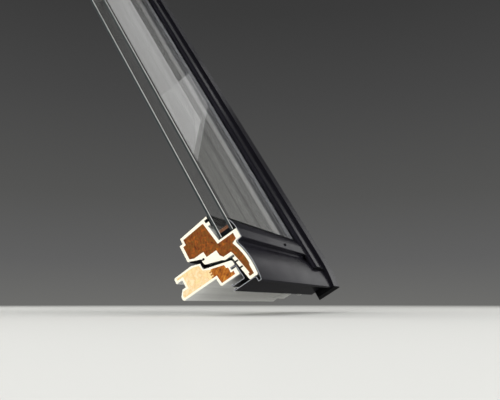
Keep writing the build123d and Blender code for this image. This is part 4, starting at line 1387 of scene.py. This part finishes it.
@dataclass
class Studio:
    """Pale floor, plain backdrop, soft lamps and the camera, in metres."""

    floor_z: float = -0.032
    floor_half: float = 30.0
    floor_colour: str = "#d6d6d3"
    floor_gloss: float = 0.06
    floor_gloss_roughness: float = 0.14
    # Distances over which the floor's gloss ends and its colour fades into the backdrop.
    gloss_ends: tuple[float, float] = (0.4, 1.0)
    floor_fades: tuple[float, float] = (1.0, 4.5)
    # What gloss mirrors below the window is a dark room, as in the photograph.
    floor_mirrored: str = "#4a4a49"
    light_colour: str = "#e4e4e2"
    light_strength: float = 0.6
    # Stops of the backdrop by the sine of the height angle, which is its direction's Z.
    backdrop: tuple[tuple[float, str], ...] = (
        (0.0, "#6c6c6a"),
        (0.08, "#606060"),
        (0.2, "#545453"),
        (0.38, "#464646"),
        (0.52, "#3b3b3b"),
        (0.85, "#282828"),
    )
    lamps: tuple[Lamp, ...] = (
        Lamp("lamp_key", (0.6, -1.7, 1.7), (0.0, 0.2, 0.4), (1.4, 1.4), 14.0),
        Lamp("lamp_cut", (-2.2, 0.4, 1.0), (0.0, 0.15, 0.3), (1.8, 1.3), 30.0),
        Lamp("lamp_low", (-0.5, -2.4, 0.65), (0.0, 0.0, 0.1), (2.4, 1.1), 42.0),
        Lamp("lamp_room", (-0.2, 2.2, 1.4), (0.0, 0.2, 0.4), (1.4, 1.2), 18.0),
    )
    softbox_wall_x: float = 2.4
    # The last two lie beside the pane, where only the covers mirror them.
    softboxes: tuple[Softbox, ...] = (
        Softbox("softbox_low", 0.36, ((8.0, 116.0), (279.0, 371.0), (279.0, 460.0), (8.0, 249.0))),
        Softbox("softbox_tall", 0.66, ((8.0, 130.0), (142.0, 256.0), (142.0, 900.0), (8.0, 900.0))),
        Softbox(
            "softbox_nose",
            0.62,
            (
                (-20.0, -260.0),
                (420.0, -260.0),
                (380.0, -100.0),
                (310.0, -20.0),
                (285.0, 13.0),
                (-20.0, 13.0),
            ),
        ),
        Softbox(
            "softbox_side", 0.4, ((403.0, -80.0), (480.0, -80.0), (480.0, 135.0), (403.0, 135.0))
        ),
    )
    camera_place: Place = (-0.81905, -0.3570, -0.0144)
    camera_forward: Place = (0.8964, 0.3968, 0.1974)
    lens_mm: float = 36.84
    sensor_mm: float = 36.0
    camera_sees: tuple[float, float] = (0.01, 100.0)

    def build(self) -> None:
        """Makes the floor, the surroundings, the lamps and the camera."""
        self.floor()
        self.surroundings()
        for lamp in self.lamps:
            lamp.hang()
        for softbox in self.softboxes:
            softbox.hang(self.seen_in_glass(*corner) for corner in softbox.image)
        self.camera()
        log.info("studio: %d lamps, %d softboxes", len(self.lamps), len(self.softboxes))

    def floor(self) -> None:
        """Lays the floor that the window hovers over."""
        mesh = bmesh.new()
        bmesh.ops.create_grid(mesh, x_segments=1, y_segments=1, size=self.floor_half)
        data = bpy.data.meshes.new("floor")
        mesh.to_mesh(data)
        mesh.free()
        floor = bpy.data.objects.new("floor", data)
        bpy.context.scene.collection.objects.link(floor)
        floor.location.z = self.floor_z
        data.materials.append(self.floor_paint())

    def floor_paint(self) -> bpy.types.Material:
        """Makes the painted board: pale and nearly matt, and lost in the backdrop far off.

        Returns:
            The material.
        """
        material = bpy.data.materials.new("floor_painted_board")
        material.use_nodes = True
        tree = material.node_tree
        tree.nodes.clear()
        coords = add_node(tree, "ShaderNodeTexCoord")
        reach = add_node(
            tree,
            "ShaderNodeVectorMath",
            {"operation": "LENGTH"},
            {0: coords.outputs["Object"]},
        )
        start, end = self.gloss_ends
        polish = add_node(
            tree,
            "ShaderNodeMapRange",
            {"From Min": start, "From Max": end, "To Min": self.floor_gloss, "To Max": 0.0},
            {"Value": reach.outputs["Value"]},
        )
        start, end = self.floor_fades
        away = add_node(
            tree,
            "ShaderNodeMapRange",
            {"interpolation_type": "SMOOTHSTEP", "From Min": start, "From Max": end},
            {"Value": reach.outputs["Value"]},
        )
        path = add_node(tree, "ShaderNodeLightPath")
        # A ray through slightly rough glass counts as glossy too.
        reflected = add_node(
            tree,
            "ShaderNodeMath",
            {"operation": "SUBTRACT", "use_clamp": True},
            {0: path.outputs["Is Glossy Ray"], 1: path.outputs["Is Transmission Ray"]},
        )
        paint = add_node(tree, "ShaderNodeBsdfDiffuse", {"Color": linear(self.floor_colour)})
        gloss = add_node(
            tree, "ShaderNodeBsdfGlossy", {"Roughness": self.floor_gloss_roughness}
        )
        horizon = add_node(tree, "ShaderNodeEmission", {"Color": linear(self.backdrop[0][1])})
        mirrored = add_node(tree, "ShaderNodeEmission", {"Color": linear(self.floor_mirrored)})
        shown = paint.outputs["BSDF"]
        for share, layer in (
            (polish.outputs["Result"], gloss.outputs["BSDF"]),
            (away.outputs["Result"], horizon.outputs["Emission"]),
            (reflected.outputs["Value"], mirrored.outputs["Emission"]),
        ):
            mixed = add_node(tree, "ShaderNodeMixShader", links={0: share, 1: shown, 2: layer})
            shown = mixed.outputs["Shader"]
        add_node(tree, "ShaderNodeOutputMaterial", links={"Surface": shown})
        return material

    def surroundings(self) -> None:
        """Makes the backdrop that is seen directly, mirrored or through glass, and soft light."""
        world = bpy.data.worlds.new("studio")
        bpy.context.scene.world = world
        world.use_nodes = True
        tree = world.node_tree
        tree.nodes.clear()
        path = add_node(tree, "ShaderNodeLightPath")
        seen = path.outputs["Is Camera Ray"]
        for ray in ("Is Transmission Ray", "Is Glossy Ray"):
            either = add_node(
                tree, "ShaderNodeMath", {"operation": "MAXIMUM"}, {0: seen, 1: path.outputs[ray]}
            )
            seen = either.outputs["Value"]
        # Soft light reaches a matt surface through the glass as well.
        bounced = add_node(
            tree,
            "ShaderNodeMath",
            {"operation": "GREATER_THAN", 1: 0.5},
            {0: path.outputs["Diffuse Depth"]},
        )
        backdrop = add_node(
            tree,
            "ShaderNodeMath",
            {"operation": "SUBTRACT", "use_clamp": True},
            {0: seen, 1: bounced.outputs["Value"]},
        )
        coords = add_node(tree, "ShaderNodeTexCoord")
        split = add_node(
            tree, "ShaderNodeSeparateXYZ", links={"Vector": coords.outputs["Generated"]}
        )
        sweep = add_node(
            tree, "ShaderNodeValToRGB", links={"Fac": split.outputs["Z"]}, stops=self.backdrop
        )
        light = add_node(
            tree,
            "ShaderNodeBackground",
            {"Strength": self.light_strength, "Color": linear(self.light_colour)},
        )
        shown = add_node(tree, "ShaderNodeBackground", links={"Color": sweep.outputs["Color"]})
        mixed = add_node(
            tree,
            "ShaderNodeMixShader",
            links={
                0: backdrop.outputs["Value"],
                1: light.outputs["Background"],
                2: shown.outputs["Background"],
            },
        )
        add_node(tree, "ShaderNodeOutputWorld", links={"Surface": mixed.outputs["Shader"]})

    def seen_in_glass(self, across_mm: float, up_mm: float) -> Vector:
        """Gives the point of the softboxes' wall that the camera sees mirrored in the pane.

        Args:
            across_mm: Place on the pane, across the window from the cut.
            up_mm: Place on the pane, up the roof.

        Returns:
            The point on the wall, in metres.
        """
        point = window_point(across_mm, up_mm, GLASS_FACE_MM)
        ray = point - Vector(self.camera_place)
        outward = Vector((0.0, -math.sin(ROOF_PITCH), math.cos(ROOF_PITCH)))
        mirrored = ray - 2 * ray.dot(outward) * outward
        return point + mirrored * ((self.softbox_wall_x - point.x) / mirrored.x)

    def camera(self) -> None:
        """Puts the camera where the photograph was taken from."""
        forward = Vector(self.camera_forward).normalized()
        right = forward.cross(Vector((0.0, 0.0, 1.0))).normalized()
        up = right.cross(forward)
        turn = Matrix((right, up, -forward)).transposed().to_4x4()
        data = bpy.data.cameras.new("camera")
        data.lens = self.lens_mm
        data.sensor_width = self.sensor_mm
        data.clip_start, data.clip_end = self.camera_sees
        camera = bpy.data.objects.new("camera", data)
        bpy.context.scene.collection.objects.link(camera)
        camera.matrix_world = Matrix.Translation(self.camera_place) @ turn
        bpy.context.scene.camera = camera


def main() -> None:
    """Builds the dressed window in order."""
    logging.basicConfig(level=logging.INFO, format="%(name)s %(message)s")
    bpy.context.scene.view_settings.view_transform = "Standard"
    Mouldings().build()
    TimberCores().build()
    GlassUnit().build()
    Covers().build()
    Seals().build()
    Fittings().build()
    Studio().build()
    bpy.context.view_layer.update()


if __name__ == "__main__":
    main()
